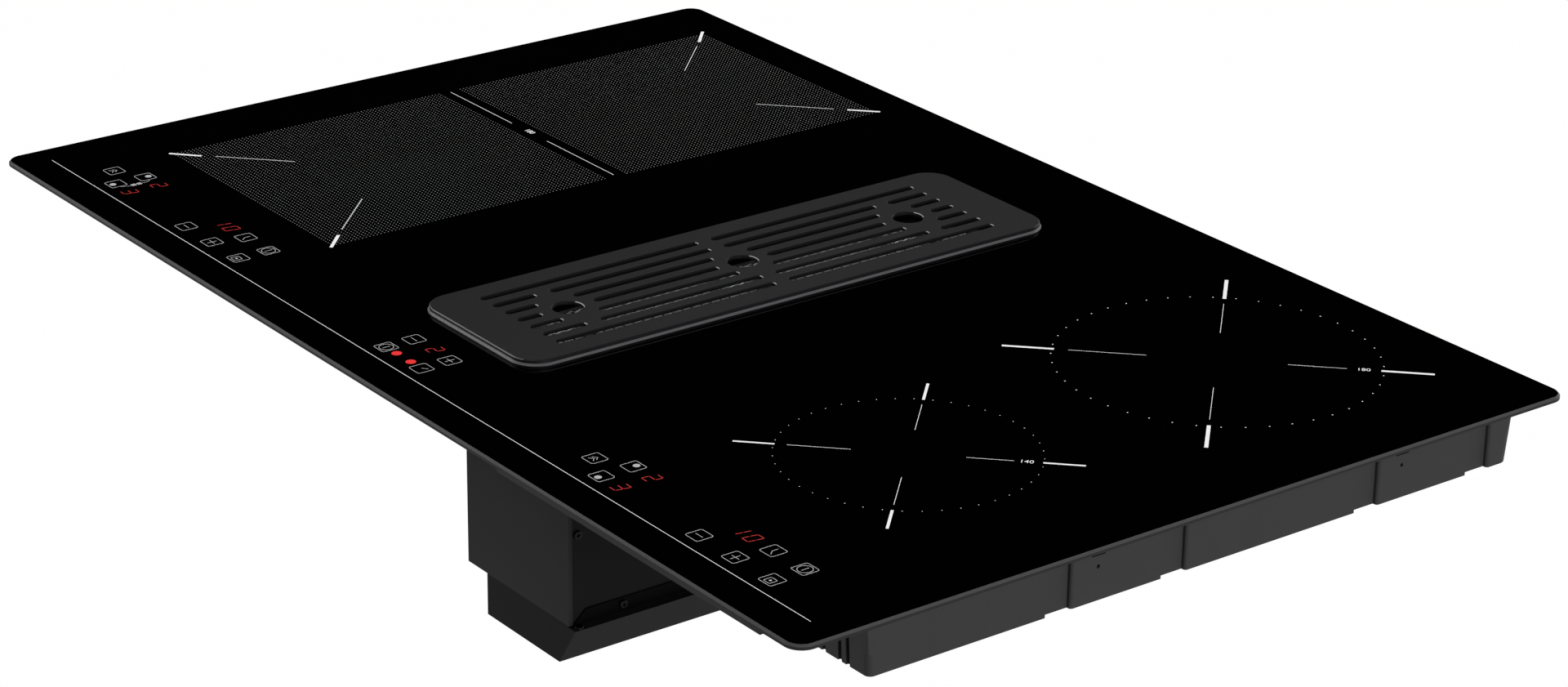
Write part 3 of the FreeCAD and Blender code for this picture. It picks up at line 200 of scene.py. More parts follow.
@dataclass(frozen=True)
class GroundGlass(Finish):
    """Polished glass whose edge is ground matt grey, with painted light and shade: paler on the
    bevel, darker on the upright side.

    A face's rise is how level it lies: the upright part of its normal, from 0 to 1.
    """

    # Ground grey of the edge: painted paler on the bevel, painted shade on the upright side
    lit_bevel_colour: str = "#484848"
    shaded_side_colour: str = "#282828"
    edge_roughness: float = 0.45
    face_rise: float = 0.97
    bevel_rise: float = 0.6
    ior: float = 1.52

    def add_detail(self, tree: Tree, place: Socket, shader: Node) -> None:
        """Gives the sloping and upright faces the ground finish, with a painted highlight on the
        bevel and painted shade on the upright side, and the level ones the polish.

        Args:
            tree: node tree of the finish.
            place: where a point is on the piece; not used.
            shader: shader of the finish.
        """
        normal = add_node(tree, "ShaderNodeNewGeometry").outputs["True Normal"]
        height = add_node(tree, "ShaderNodeSeparateXYZ", {"Vector": normal}).outputs["Z"]
        rise = add_node(tree, "ShaderNodeMath", {0: height}, operation="ABSOLUTE").outputs["Value"]
        edge = add_node(tree, "ShaderNodeMath", {0: rise, 1: self.face_rise},
                        operation="LESS_THAN").outputs["Value"]
        bevel = add_node(tree, "ShaderNodeMapRange", {
            "Value": rise, "From Max": self.bevel_rise}).outputs["Result"]
        # Painted light and shade on the ground edge, by how level each face lies
        ground_and_shade = add_node(tree, "ShaderNodeMix", {
            "Factor": bevel, "A": linear(self.shaded_side_colour), "B": linear(self.lit_bevel_colour)},
            data_type="RGBA").outputs["Result"]
        self.cover(tree, shader, edge, ground_and_shade)
        polish = shader.inputs["Roughness"].links[0].from_socket
        gloss = add_node(tree, "ShaderNodeMix", {
            "Factor": edge, "A": polish, "B": self.edge_roughness}).outputs["Result"]
        tree.links.new(gloss, shader.inputs["Roughness"])
        shader.inputs["IOR"].default_value = self.ior


@dataclass(frozen=True)
class HighlightedBevels(Finish):
    """Coating with painted highlights: bevels that turn to the front are painted paler.

    The painted highlight is palest on the bevels of slots, which lie further back than slots_from,
    in metres.
    """

    # Colours of the painted highlights on the bevels and on the slots' bevels
    highlight_colour: str = "#5a5a5c"
    slot_glint_colour: str = "#a8a8aa"
    bevel_rise: float = 0.6
    rise_spread: float = 0.3
    turned_below: float = -0.6
    slots_from: float = 1.0

    def add_detail(self, tree: Tree, place: Socket, shader: Node) -> None:
        """Paints a highlight on the faces that slope about as much as a bevel and turn to the
        front.

        Args:
            tree: node tree of the finish.
            place: where a point is on the piece.
            shader: shader of the finish.
        """
        normal = add_node(tree, "ShaderNodeNewGeometry").outputs["True Normal"]
        axes = add_node(tree, "ShaderNodeSeparateXYZ", {"Vector": normal}).outputs
        sloped = add_node(tree, "ShaderNodeMath", {
            0: axes["Z"], 1: self.bevel_rise, 2: self.rise_spread},
            operation="COMPARE").outputs["Value"]
        turned = add_node(tree, "ShaderNodeMath", {0: axes["Y"], 1: self.turned_below},
                          operation="LESS_THAN").outputs["Value"]
        bevel = add_node(tree, "ShaderNodeMath", {0: sloped, 1: turned},
                         operation="MULTIPLY").outputs["Value"]
        back = add_node(tree, "ShaderNodeSeparateXYZ", {"Vector": place}).outputs["Y"]
        slot = add_node(tree, "ShaderNodeMath", {0: back, 1: self.slots_from},
                        operation="GREATER_THAN").outputs["Value"]
        # Painted highlight: pale grey on front-facing bevels, paler still on the slots' bevels
        painted_highlight = add_node(tree, "ShaderNodeMix", {
            "Factor": slot, "A": linear(self.highlight_colour), "B": linear(self.slot_glint_colour)},
            data_type="RGBA").outputs["Result"]
        self.cover(tree, shader, bevel, painted_highlight)


@dataclass(frozen=True)
class DarkLipPaint(Finish):
    """Painted sheet whose lip, beyond a corner in X and Z, is coloured near black."""

    corner: Point = (0.0, 0.0)
    lip_colour: str = "#080808"

    def add_detail(self, tree: Tree, place: Socket, shader: Node) -> None:
        """Darkens what lies right of and above the corner.

        Args:
            tree: node tree of the finish.
            place: where a point is on the piece.
            shader: shader of the finish.
        """
        axes = add_node(tree, "ShaderNodeSeparateXYZ", {"Vector": place}).outputs
        right, above = (add_node(tree, "ShaderNodeMath", {0: axes[axis], 1: limit},
                                 operation="GREATER_THAN").outputs["Value"]
                        for axis, limit in zip("XZ", self.corner))
        lip = add_node(tree, "ShaderNodeMath", {0: right, 1: above},
                       operation="MULTIPLY").outputs["Value"]
        self.cover(tree, shader, lip, linear(self.lip_colour))


@dataclass(frozen=True)
class WoundCopper(Finish):
    """Enamelled wire wound in a flat spiral about a centre.

    At wave_scale the wave texture draws one ring in each metre.
    """

    centre: Place = (0.0, 0.0, 0.0)
    wire_mm: float = 2.2
    groove_share: float = 0.25
    groove_shade_colour: str = "#2a120a"
    wave_scale: float = math.pi / 10

    def add_detail(self, tree: Tree, place: Socket, shader: Node) -> None:
        """Draws the turns as rings about the coil's centre, with painted shade in the grooves
        between them.

        Args:
            tree: node tree of the finish.
            place: where a point is on the piece.
            shader: shader of the finish.
        """
        about = add_node(tree, "ShaderNodeMapping", {
            "Vector": place, "Location": tuple(-c for c in self.centre)}).outputs["Vector"]
        rings = add_node(tree, "ShaderNodeTexWave", {
            "Vector": about, "Scale": self.wave_scale * per_metre(self.wire_mm)},
            wave_type="RINGS", rings_direction="Z").outputs["Fac"]
        wire = shader.inputs["Base Color"].links[0].from_socket
        # Painted shade in the grooves between the turns
        colour = add_node(tree, "ShaderNodeMix", {
            "Factor": rings, "A": linear(self.groove_shade_colour), "B": wire},
            data_type="RGBA").outputs["Result"]
        bump = add_node(tree, "ShaderNodeBump", {
            "Height": rings, "Strength": 1.0,
            "Distance": self.wire_mm * MM * self.groove_share}).outputs["Normal"]
        tree.links.new(colour, shader.inputs["Base Color"])
        tree.links.new(bump, shader.inputs["Normal"])


@dataclass(frozen=True)
class PrintedBoard(Finish):
    """Green lacquer over copper tracks."""

    track_colour: str = "#2f6b3c"
    track_mm: float = 5.0
    track_from: float = 0.42
    jitter: float = 0.6

    def add_detail(self, tree: Tree, place: Socket, shader: Node) -> None:
        """Draws the tracks as the edges of a square cell pattern.

        Args:
            tree: node tree of the finish.
            place: where a point is on the piece.
            shader: shader of the finish.
        """
        cells = add_node(tree, "ShaderNodeTexVoronoi", {
            "Vector": place, "Scale": per_metre(self.track_mm), "Randomness": self.jitter},
            feature="F1", distance="CHEBYCHEV").outputs["Distance"]
        track = add_node(tree, "ShaderNodeMath", {0: cells, 1: self.track_from},
                         operation="GREATER_THAN").outputs["Value"]
        self.cover(tree, shader, track, linear(self.track_colour))


@dataclass(frozen=True)
class SelfLit(Finish):
    """A finish that gives some light of its own."""

    glow: str = "#b41212"
    strength: float = 1.0

    def add_detail(self, tree: Tree, place: Socket, shader: Node) -> None:
        """Adds the light."""
        shader.inputs["Emission Color"].default_value = linear(self.glow)
        shader.inputs["Emission Strength"].default_value = self.strength


# Polished black glass-ceramic: a deep black mirror with a frosted grey ground edge, painted paler
# on the bevel and shaded on the upright side
BLACK_GLASS = GroundGlass("black_glass_ceramic", "#010101", "#000000", 0.05, 0.01, grain_mm=60.0,
                          relief_mm=0.0, shine=0.07)
# Charcoal powder coat on aluminium: a soft even sheen with a fine orange peel, drawn coarse
# enough to show, and painted highlights on the front-facing bevels, palest at the slot ends
POWDER_COAT = HighlightedBevels("charcoal_powder_coat", "#18181a", "#141415", 0.4, 0.06, grain_mm=1.4,
                        relief_mm=0.012, shine=0.22, slots_from=-0.17)
# The same coat on the rim, which has no slots: a painted highlight on its bevel all the way round
RIM_COAT = replace(POWDER_COAT, name="rim_powder_coat", turned_below=1.0, slots_from=1.0)
# Satin stoved paint on sheet steel: nearly black, smooth, with a slow waviness of the sheet
SATIN_PAINT = Finish("satin_black_stoved_paint", "#202020", "#1c1c1c", 0.5, 0.05, grain_mm=2.4,
                     relief_mm=0.012, shine=0.02)
# The same paint on the front cover, painted paler for the extra light that falls on its front
FRONT_LIT_PAINT = replace(SATIN_PAINT, name="front_lit_satin_paint", colour="#323232",
                      shade="#2d2d2d", shine=0.03)
# The same paint on the trough, with its lip up the housing's side coloured darker
LIPPED_PAINT = DarkLipPaint(**asdict(SATIN_PAINT) | {"name": "lipped_stoved_paint"})
# Glass-filled polyamide, spark-eroded mould: charcoal with a dry grain, drawn coarse enough
# to show
TRAY_MOULDING = Finish("charcoal_moulded_polyamide", "#363636", "#313131", 0.55, 0.07,
                       grain_mm=1.6, relief_mm=0.03, shine=0.12)
# Moulded black ABS: dull black with a faint grain
BLACK_MOULDING = Finish("black_moulded_abs", "#161617", "#111112", 0.5, 0.06, grain_mm=1.6,
                        relief_mm=0.02, shine=0.15)
# Drawn stainless wire: bright narrow glints along each strand
STEEL_WIRE = Finish("drawn_stainless_wire", "#e2e3e4", "#c2c3c5", 0.46, 0.06, 1.0, mottle_mm=6.0,
                    grain_mm=0.8, relief_mm=0.004)
# Brushed stainless sheet: long fine scratches that stretch the highlights
BRUSHED_STEEL = Finish("brushed_stainless_sheet", "#8e8f91", "#77787a", 0.34, 0.08, 1.0,
                       mottle_mm=12.0, grain_mm=0.7, relief_mm=0.004, stretch=(1.0, 0.05, 1.0))
# Black-oxide screw steel: dark with a warm metallic sheen
SCREW_STEEL = Finish("black_oxide_screw_steel", "#1f1f1f", "#141414", 0.36, 0.06, 1.0,
                     mottle_mm=4.0, grain_mm=0.9, relief_mm=0.006)
# Zinc-plated steel: pale grey with a cloudy spangle
ZINC_STEEL = Finish("zinc_plated_steel", "#b3b5b7", "#94979a", 0.38, 0.1, 1.0, mottle_mm=7.0,
                    grain_mm=2.0, relief_mm=0.004)
# Mill-finish aluminium: soft white metal with rolling lines
BARE_ALUMINIUM = Finish("mill_finish_aluminium", "#c4c6c8", "#aeb0b3", 0.36, 0.08, 1.0,
                        mottle_mm=20.0, grain_mm=0.9, relief_mm=0.004, stretch=(1.0, 0.06, 1.0))
# Sintered ferrite: dense dark grey with a fine stony grain
FERRITE = Finish("sintered_ferrite", "#34363a", "#27282b", 0.6, 0.08, grain_mm=0.9, relief_mm=0.02)
# Mica laminate: silvery beige flakes
MICA = Finish("mica_laminate", "#b7a98c", "#98876a", 0.4, 0.12, mottle_mm=4.0, grain_mm=1.2)
# Silicone rubber: dull reddish brown
SILICONE = Finish("silicone_rubber", "#8c3a2c", "#7a3226", 0.62, grain_mm=1.2)
# Circuit board: green lacquer with paler green lines where copper tracks lie under it
CIRCUIT_BOARD = PrintedBoard("lacquered_circuit_board", "#1e4a2a", "#183f23", 0.35,
                             relief_mm=0.005)
# Moulded component cases: dark blue-black sleeves and blocks
COMPONENT = Finish("moulded_component_case", "#23262e", "#181a20", 0.4, 0.06, mottle_mm=9.0)
# Enamelled copper litz: warm red-brown strands, turn beside turn, with painted shade between turns
WOUND_COPPER = WoundCopper("enamelled_copper", "#b0643a", "#96512c", 0.36)
# Closed-cell foam: soft black with small open pores
FOAM = Finish("closed_cell_foam", "#191919", "#101010", 0.85, grain_mm=1.2, relief_mm=0.12)
# Red display lens: dark red moulding
DISPLAY_LENS = Finish("red_display_lens", "#3a0808", "#2c0606", 0.25, 0.03, relief_mm=0.0)
# White ceramic ink fired on glass: clean matt white, with a painted grey glow that lifts it
# to full white
GLOWING_WHITE_INK = SelfLit("glowing_white_ink", "#f4f4f4", "#e9e9e9", 0.6, mottle_mm=3.0, grain_mm=0.8,
                    relief_mm=0.002, glow="#808080")
# Finer screen of the same ink on the touch keys: a softer white
KEY_INK = Finish("key_fired_ink", "#d0d0d0", "#c6c6c6", 0.6, mottle_mm=3.0, grain_mm=0.8,
                 relief_mm=0.002)
# Grey ceramic ink of the dot screen: an even matt grey
GREY_INK = Finish("grey_fired_ink", "#b4b4b4", "#a4a4a4", 0.6, mottle_mm=5.0, grain_mm=0.8,
                  relief_mm=0.002)
# Red light-emitting bars under dark glass: deep red with no sparkle
RED_SEGMENT = SelfLit("red_lit_segment", "#3a0404", "#300303", 0.5, 0.03, relief_mm=0.0)
# Red signal lamps under dark glass: a little brighter than the digits
RED_LAMP = SelfLit("red_lit_lamp", "#4a0404", "#400303", 0.5, 0.03, relief_mm=0.0, glow="#e01818")


# Modelling helpers

class Selected(Enum):
    """What is selected when the edit of a mesh starts."""

    ALL = "SELECT"
    NOTHING = "DESELECT"
    AS_MARKED = ""


def start_clean() -> None:
    """Goes to object mode with nothing selected."""
    if bpy.context.mode != "OBJECT":
        bpy.ops.object.mode_set(mode="OBJECT")
    bpy.ops.object.select_all(action="DESELECT")


@contextmanager
def editing(start: Selected = Selected.ALL) -> Iterator[None]:
    """Holds the active object in edit mode.

    Args:
        start: what is selected at first.
    Returns:
        The context of the edit.
    """
    bpy.ops.object.mode_set(mode="EDIT")
    if start is not Selected.AS_MARKED:
        bpy.ops.mesh.select_all(action=start.value)
    yield
    bpy.ops.object.mode_set(mode="OBJECT")


def pick(piece: Piece) -> None:
    """Makes one object the only selected and active one.

    Args:
        piece: the object.
    """
    start_clean()
    piece.select_set(True)
    bpy.context.view_layer.objects.active = piece


def apply_place(piece: Piece) -> None:
    """Puts an object's place, turn and scale into its mesh."""
    pick(piece)
    bpy.ops.object.transform_apply(location=True, rotation=True, scale=True)


def repeat(piece: Piece, count: int, step: Place, **settings: Any) -> None:
    """Repeats an object's mesh in a row with an array that is applied at once.

    Args:
        piece: object that is changed.
        count: number of copies with the first.
        step: way from one copy to the next in metres.
        settings: further properties of the array by name.
    """
    pick(piece)
    array = piece.modifiers.new("row", "ARRAY")
    array.count = count
    array.use_relative_offset = False
    array.use_constant_offset = True
    array.constant_offset_displace = step
    for name, value in settings.items():
        setattr(array, name, value)
    bpy.ops.object.modifier_apply(modifier=array.name)


def joined(pieces: list[Piece], name: str) -> Piece:
    """Joins objects into one.

    Args:
        pieces: objects that are joined; the first one takes the rest.
        name: name of the result.
    Returns:
        The joined object.
    """
    whole = pieces[0]
    pick(whole)
    for piece in pieces[1:]:
        piece.select_set(True)
    if len(pieces) > 1:
        bpy.ops.object.join()
    whole.name = whole.data.name = name
    return whole


def dress(piece: Piece, material: Material) -> None:
    """Gives an object one material in place of those it has.

    Args:
        piece: the object.
        material: what it is made of.
    """
    slots = piece.data.materials
    for index in range(len(slots)):
        slots[index] = material
    if not slots:
        slots.append(material)


def place_piece(piece: Piece, material: Material, body: str) -> None:
    """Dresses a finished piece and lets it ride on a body.

    Args:
        piece: the finished piece.
        material: what it is made of.
        body: name of the body that carries it.
    """
    dress(piece, material)
    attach(piece, body)
    log.info("%s rides on %s with %d faces", piece.name, body, len(piece.data.polygons))


def moved(point: Point, by: Point) -> Point:
    """Point moved by a way in X and Y."""
    return point[0] + by[0], point[1] + by[1]


def shifted(rows: tuple[tuple[What, Point], ...], shift: float) -> tuple[tuple[What, Point], ...]:
    """Rows of things and their points, all moved along X."""
    return tuple((what, moved(at, (shift, 0.0))) for what, at in rows)


@dataclass
class PrintSheet:
    """Flat shapes drawn on the glass in millimetres, joined and raised into one closed print."""

    name: str
    layer: int = 0
    glass_level: float = 5.0
    thick: float = 0.05
    merge_share: float = 0.1
    shapes: list[Piece] = field(default_factory=list)

    def spot(self, at: Point) -> Place:
        """Place on the sheet in metres."""
        return at[0] * MM, at[1] * MM, (self.glass_level + self.layer * self.thick) * MM

    def keep(self, shape: Piece) -> None:
        """Puts a shape's place into its mesh and keeps it for the print."""
        apply_place(shape)
        self.shapes.append(shape)

    def add_plate(self, at: Point, length: float, width: float, turn: float = 0.0,
                  corner: float = 0.0, steps: int = 1) -> None:
        """Adds a rectangle, with its corners cut or rounded.

        Args:
            at: centre.
            length: size along the turned X axis.
            width: size along the turned Y axis.
            turn: turn about the vertical in radians.
            corner: how far from the corner the cut starts.
            steps: number of faces round a corner.
        """
        start_clean()
        bpy.ops.mesh.primitive_plane_add(size=1.0, location=self.spot(at), rotation=(0, 0, turn))
        shape = bpy.context.object
        shape.scale = (length * MM, width * MM, 1.0)
        self.keep(shape)
        if corner:
            with editing():
                bpy.ops.mesh.bevel(affect="VERTICES", offset=corner * MM, segments=steps)

    def add_bar(self, start: Point, end: Point, width: float, corner: float = 0.0) -> None:
        """Adds a straight stroke from point to point.

        Args:
            start: middle of the first end.
            end: middle of the other end.
            width: width of the stroke.
            corner: how far from the corner its cut starts.
        """
        run = Vector(end) - Vector(start)
        middle = (Vector(end) + Vector(start)) / 2
        turn = math.atan2(run.y, run.x)
        self.add_plate((middle.x, middle.y), run.length, width, turn, corner)

    def add_box(self, at: Point, side: float, stroke: float, corner: float, steps: int = 4) -> None:
        """Adds the outline of a rounded square.

        Args:
            at: centre.
            side: outer size.
            stroke: width of the line.
            corner: outer corner radius.
            steps: number of faces round a corner.
        """
        self.add_plate(at, side, side, 0.0, corner, steps)
        with editing():
            bpy.ops.mesh.inset(thickness=stroke * MM)
            bpy.ops.mesh.delete(type="FACE")

    def add_disc(self, at: Point, radius: float, corners: int) -> None:
        """Adds a filled round dot.

        Args:
            at: centre.
            radius: radius.
            corners: number of corners.
        """
        start_clean()
        bpy.ops.mesh.primitive_circle_add(vertices=corners, radius=radius * MM, fill_type="NGON",
                                          location=self.spot(at))
        self.keep(bpy.context.object)

    def add_arc(self, at: Point, radius: float, stroke: float, gap: Span | None = None,
                corners: int = 32) -> None:
        """Adds a round line, with a gap between two angles if one is given.

        Args:
            at: centre.
            radius: outer radius.
            stroke: width of the line.
            gap: first and last angle of the gap in degrees from the X axis.
            corners: number of corners of the whole round.
        """
        start_clean()
        bpy.ops.mesh.primitive_circle_add(vertices=corners, radius=radius * MM,
                                          fill_type="NOTHING", location=self.spot(at))
        shape = bpy.context.object
        if gap:
            for vertex in shape.data.vertices:
                angle = math.degrees(math.atan2(vertex.co.y, vertex.co.x)) % 360
                vertex.select = gap[0] < angle < gap[1]
            with editing(Selected.AS_MARKED):
                bpy.ops.mesh.delete(type="VERT")
        self.keep(shape)
        share = (radius - stroke) / radius
        with editing():
            bpy.ops.mesh.extrude_edges_move()
            bpy.ops.transform.resize(value=(share, share, 1.0), center_override=self.spot(at))

    def add_number(self, number: int, at: Point, height: float, turn: float = 0.0) -> None:
        """Adds a printed number, centred on a point.

        Args:
            number: what is printed.
            at: centre.
            height: size of the type.
            turn: turn about the vertical in radians.
        """
        start_clean()
        bpy.ops.object.text_add(location=self.spot(at), rotation=(0, 0, turn))
        text = bpy.context.object.data
        text.body = str(number)
        text.size = height * MM
        text.align_x = text.align_y = "CENTER"
        bpy.ops.object.convert(target="MESH")
        self.keep(bpy.context.object)

    def raised(self) -> Piece:
        """Joins the shapes and gives the ink its thickness.

        Returns:
            The finished print.
        """
        thick = self.thick * MM
        piece = joined(self.shapes, self.name)
        with editing():
            bpy.ops.mesh.remove_doubles(threshold=thick * self.merge_share)
            bpy.ops.mesh.extrude_region_move(TRANSFORM_OT_translate={"value": (0, 0, thick)})
            bpy.ops.mesh.select_all(action="SELECT")
            bpy.ops.mesh.normals_make_consistent(inside=False)
        return piece


@dataclass
class RoundZone:
    """Printed ring of a round zone: a dotted circle, four corner bars and four thin lines.

    A bar or line runs between two reaches from the centre; the line by the number is shorter.
    """

    name: str
    centre: Point
    radius: float
    bar: Span
    bar_width: float
    line: Span
    short_line_end: float
    dot_radius: float
    label_reach: float
    dots: int = 44
    dot_corners: int = 10
    line_width: float = 0.3
    label_height: float = 5.1

    def at(self, reach: float, angle: float) -> Point:
        """Point at a reach and an angle from the zone's centre."""
        return moved(self.centre, (reach * math.cos(angle), reach * math.sin(angle)))

    def build(self) -> Piece:
        """Draws the zone.

        Returns:
            The finished print.
        """
        sheet = PrintSheet(self.name)
        sheet.add_disc(self.at(self.radius, 0.0), self.dot_radius, self.dot_corners)
        more = self.dots - 1
        with editing():
            bpy.ops.mesh.spin(steps=more, dupli=True, angle=math.tau * more / self.dots,
                              center=sheet.spot(self.centre), axis=(0, 0, 1))
        for quarter in range(4):
            angle = math.pi / 4 + quarter * math.pi / 2
            sheet.add_bar(self.at(self.bar[0], angle), self.at(self.bar[1], angle), self.bar_width)
            end = self.line[1] if quarter else self.short_line_end
            sheet.add_bar(self.at(self.line[0], angle), self.at(end, angle), self.line_width)
        label = self.at(self.label_reach, math.pi / 4)
        sheet.add_number(round(2 * self.radius), label, self.label_height, math.pi / 4)
        return sheet.raised()


@dataclass
class ZonePrint:
    """White print of the cooking zones and the dot screen of the large zone."""

    screen_names: tuple[str, str] = ("flex_zone_front_dots", "flex_zone_rear_dots")
    screen_fronts: Span = (-169.0, 37.0)
    screen_left: float = -347.0
    screen_columns: int = 75
    screen_rows: int = 77
    screen_pitch: float = 2.5
    screen_dot: float = 0.345
    screen_corners: int = 6
    divider_y: float = 28.9
    divider_runs: tuple[Span, Span] = ((-345.5, -275.5), (-236.0, -164.5))
    divider_width: float = 0.4
    flex_label: Point = (-256.5, 29.6)
    flex_label_height: float = 5.6
    flex_size: int = 180
    flex_bar_width: float = 2.0
    flex_line_width: float = 0.4
    flex_bars: tuple[tuple[Point, Point], ...] = (
        ((-349.0, -171.5), (-334.0, -157.6)), ((-159.7, -171.5), (-173.8, -158.0)),
        ((-351.6, 230.0), (-336.0, 216.0)), ((-161.0, 230.0), (-175.8, 215.3)))
    flex_lines: tuple[tuple[Point, Point], ...] = (
        ((-328.5, -151.0), (-293.2, -116.3)), ((-180.5, -151.7), (-216.2, -116.0)),
        ((-330.0, 210.0), (-295.0, 175.0)), ((-181.7, 209.5), (-217.2, 174.5)))
    front_line: tuple[Point, Point] = ((-379.0, -235.0), (380.0, -235.0))
    front_line_width: float = 0.36
    front_line_corner: float = 0.12
    rings: tuple[RoundZone, ...] = (
        RoundZone("front_zone_ring", centre=(256.1, -78.2), radius=70.0, bar=(69.5, 91.3),
                  bar_width=1.55, line=(30.0, 63.0), short_line_end=54.5, dot_radius=0.28,
                  label_reach=61.0),
        RoundZone("rear_zone_ring", centre=(256.6, 134.8), radius=90.0, bar=(88.5, 117.0),
                  bar_width=2.1, line=(38.3, 80.7), short_line_end=70.0, dot_radius=0.41,
                  label_reach=79.0))

    def screen(self, name: str, front: float) -> Piece:
        """Prints one half of the dot screen.

        Args:
            name: name of the piece.
            front: Y of the front row.
        Returns:
            The finished print.
        """
        sheet = PrintSheet(name)
        sheet.add_disc((self.screen_left, front), self.screen_dot, self.screen_corners)
        piece = sheet.raised()
        step = self.screen_pitch * MM
        repeat(piece, self.screen_columns, (step, 0, 0))
        repeat(piece, self.screen_rows, (0, step, 0))
        return piece

    def large_zone(self) -> Piece:
        """Prints the bars, lines, divider and number of the large zone, over its dot screen.

        Returns:
            The finished print.
        """
        sheet = PrintSheet("flex_zone_lines", layer=1)
        for start, end in self.flex_bars:
            sheet.add_bar(start, end, self.flex_bar_width)
        for start, end in self.flex_lines:
            sheet.add_bar(start, end, self.flex_line_width)
        for left, right in self.divider_runs:
            sheet.add_bar((left, self.divider_y), (right, self.divider_y), self.divider_width)
        sheet.add_number(self.flex_size, self.flex_label, self.flex_label_height)
        return sheet.raised()

    def front_rule(self) -> Piece:
        """Prints the long line in front of the keys.

        Returns:
            The finished print.
        """
        sheet = PrintSheet("front_rule")
        sheet.add_bar(*self.front_line, self.front_line_width, self.front_line_corner)
        return sheet.raised()

    def build(self, white: Material, grey: Material) -> None:
        """Prints all the zones.

        Args:
            white: ink of the lines.
            grey: ink of the dot screen.
        """
        for name, front in zip(self.screen_names, self.screen_fronts):
            place_piece(self.screen(name, front), grey, ROOT_BODY)
        prints = [ring.build() for ring in self.rings]
        for piece in prints + [self.large_zone(), self.front_rule()]:
            place_piece(piece, white, ROOT_BODY)


# Width of the lines of the keys and their signs in millimetres
KEY_STROKE = 0.35


@dataclass(frozen=True)
class Stroke:
    """Straight stroke of a key's sign, in millimetres from the key's centre."""

    start: Point
    end: Point

    def draw(self, sheet: PrintSheet, key: Point) -> None:
        """Draws the stroke on a key."""
        sheet.add_bar(moved(self.start, key), moved(self.end, key), KEY_STROKE)


@dataclass(frozen=True)
class Dot:
    """Filled dot of a key's sign."""

    at: Point
    radius: float
    corners: int = 20

    def draw(self, sheet: PrintSheet, key: Point) -> None:
        """Draws the dot on a key."""
        sheet.add_disc(moved(self.at, key), self.radius, self.corners)


@dataclass(frozen=True)
class Arc:
    """Round line of a key's sign, with a gap between two angles in degrees or none."""

    at: Point
    radius: float
    gap: Span | None = None

    def draw(self, sheet: PrintSheet, key: Point) -> None:
        """Draws the round line on a key."""
        sheet.add_arc(moved(self.at, key), self.radius, KEY_STROKE, self.gap)


@dataclass(frozen=True)
class Box:
    """Outline of a rounded square in a key's sign."""

    at: Point
    side: float
    corner: float
    steps: int

    def draw(self, sheet: PrintSheet, key: Point) -> None:
        """Draws the outline on a key."""
        sheet.add_box(moved(self.at, key), self.side, KEY_STROKE, self.corner, self.steps)


def chevron(level: float) -> tuple[Stroke, Stroke]:
    """Draws a chevron whose two strokes cross at the tip.

    Args:
        level: height of its middle above the key's centre.
    Returns:
        The left and the right stroke.
    """
    foot, past_tip, drop, rise = 2.3, 0.3, 1.0, 1.3
    return (Stroke((-foot, level - drop), (past_tip, level + rise)),
            Stroke((foot, level - drop), (-past_tip, level + rise)))


class KeySign(Enum):
    """What a touch key shows inside its box, mark by mark."""

    BOOST = chevron(-1.6) + chevron(0.6)
    REAR_ZONE = (Dot((0.0, 2.0), radius=2.0),)
    FRONT_ZONE = (Dot((0.0, -2.0), radius=2.0),)
    MINUS = (Stroke((-3.0, 0.0), (3.0, 0.0)),)
    PLUS = (Stroke((-3.0, 0.0), (3.0, 0.0)),
            Stroke((0.0, KEY_STROKE / 2), (0.0, 3.0)), Stroke((0.0, -KEY_STROKE / 2), (0.0, -3.0)))
    CLOCK = (Stroke((-0.2, 3.0), (-0.2, -0.6)), Stroke((-0.4, -0.4), (2.4, -3.4)))
    POWER = (Arc((0.0, 0.0), radius=4.2), Stroke((0.0, -2.4), (0.0, 2.4)))
    LOCK = (Box((0.0, -1.2), side=5.4, corner=0.9, steps=2),
            Dot((0.0, -1.2), radius=0.8, corners=12),
            Arc((0.0, 1.5), radius=2.2, gap=(190.0, 350.0)))
    TIMER = (Arc((0.0, 0.0), radius=3.6, gap=(15.0, 75.0)), Stroke((-0.3, 0.0), (2.8, 2.4)))


class Bar(Enum):
    """Bar of a seven-bar digit: its centre in half widths and half heights, and if it stands."""

    TOP = (0, 1, False)
    MIDDLE = (0, 0, False)
    BOTTOM = (0, -1, False)
    UPPER_LEFT = (-1, 0.5, True)
    UPPER_RIGHT = (1, 0.5, True)
    LOWER_LEFT = (-1, -0.5, True)
    LOWER_RIGHT = (1, -0.5, True)


LIT_BARS = {
    "0": (Bar.TOP, Bar.BOTTOM, Bar.UPPER_LEFT, Bar.UPPER_RIGHT, Bar.LOWER_LEFT, Bar.LOWER_RIGHT),
    "1": (Bar.UPPER_RIGHT, Bar.LOWER_RIGHT),
    "2": (Bar.TOP, Bar.MIDDLE, Bar.BOTTOM, Bar.UPPER_RIGHT, Bar.LOWER_LEFT),
    "3": (Bar.TOP, Bar.MIDDLE, Bar.BOTTOM, Bar.UPPER_RIGHT, Bar.LOWER_RIGHT),
}

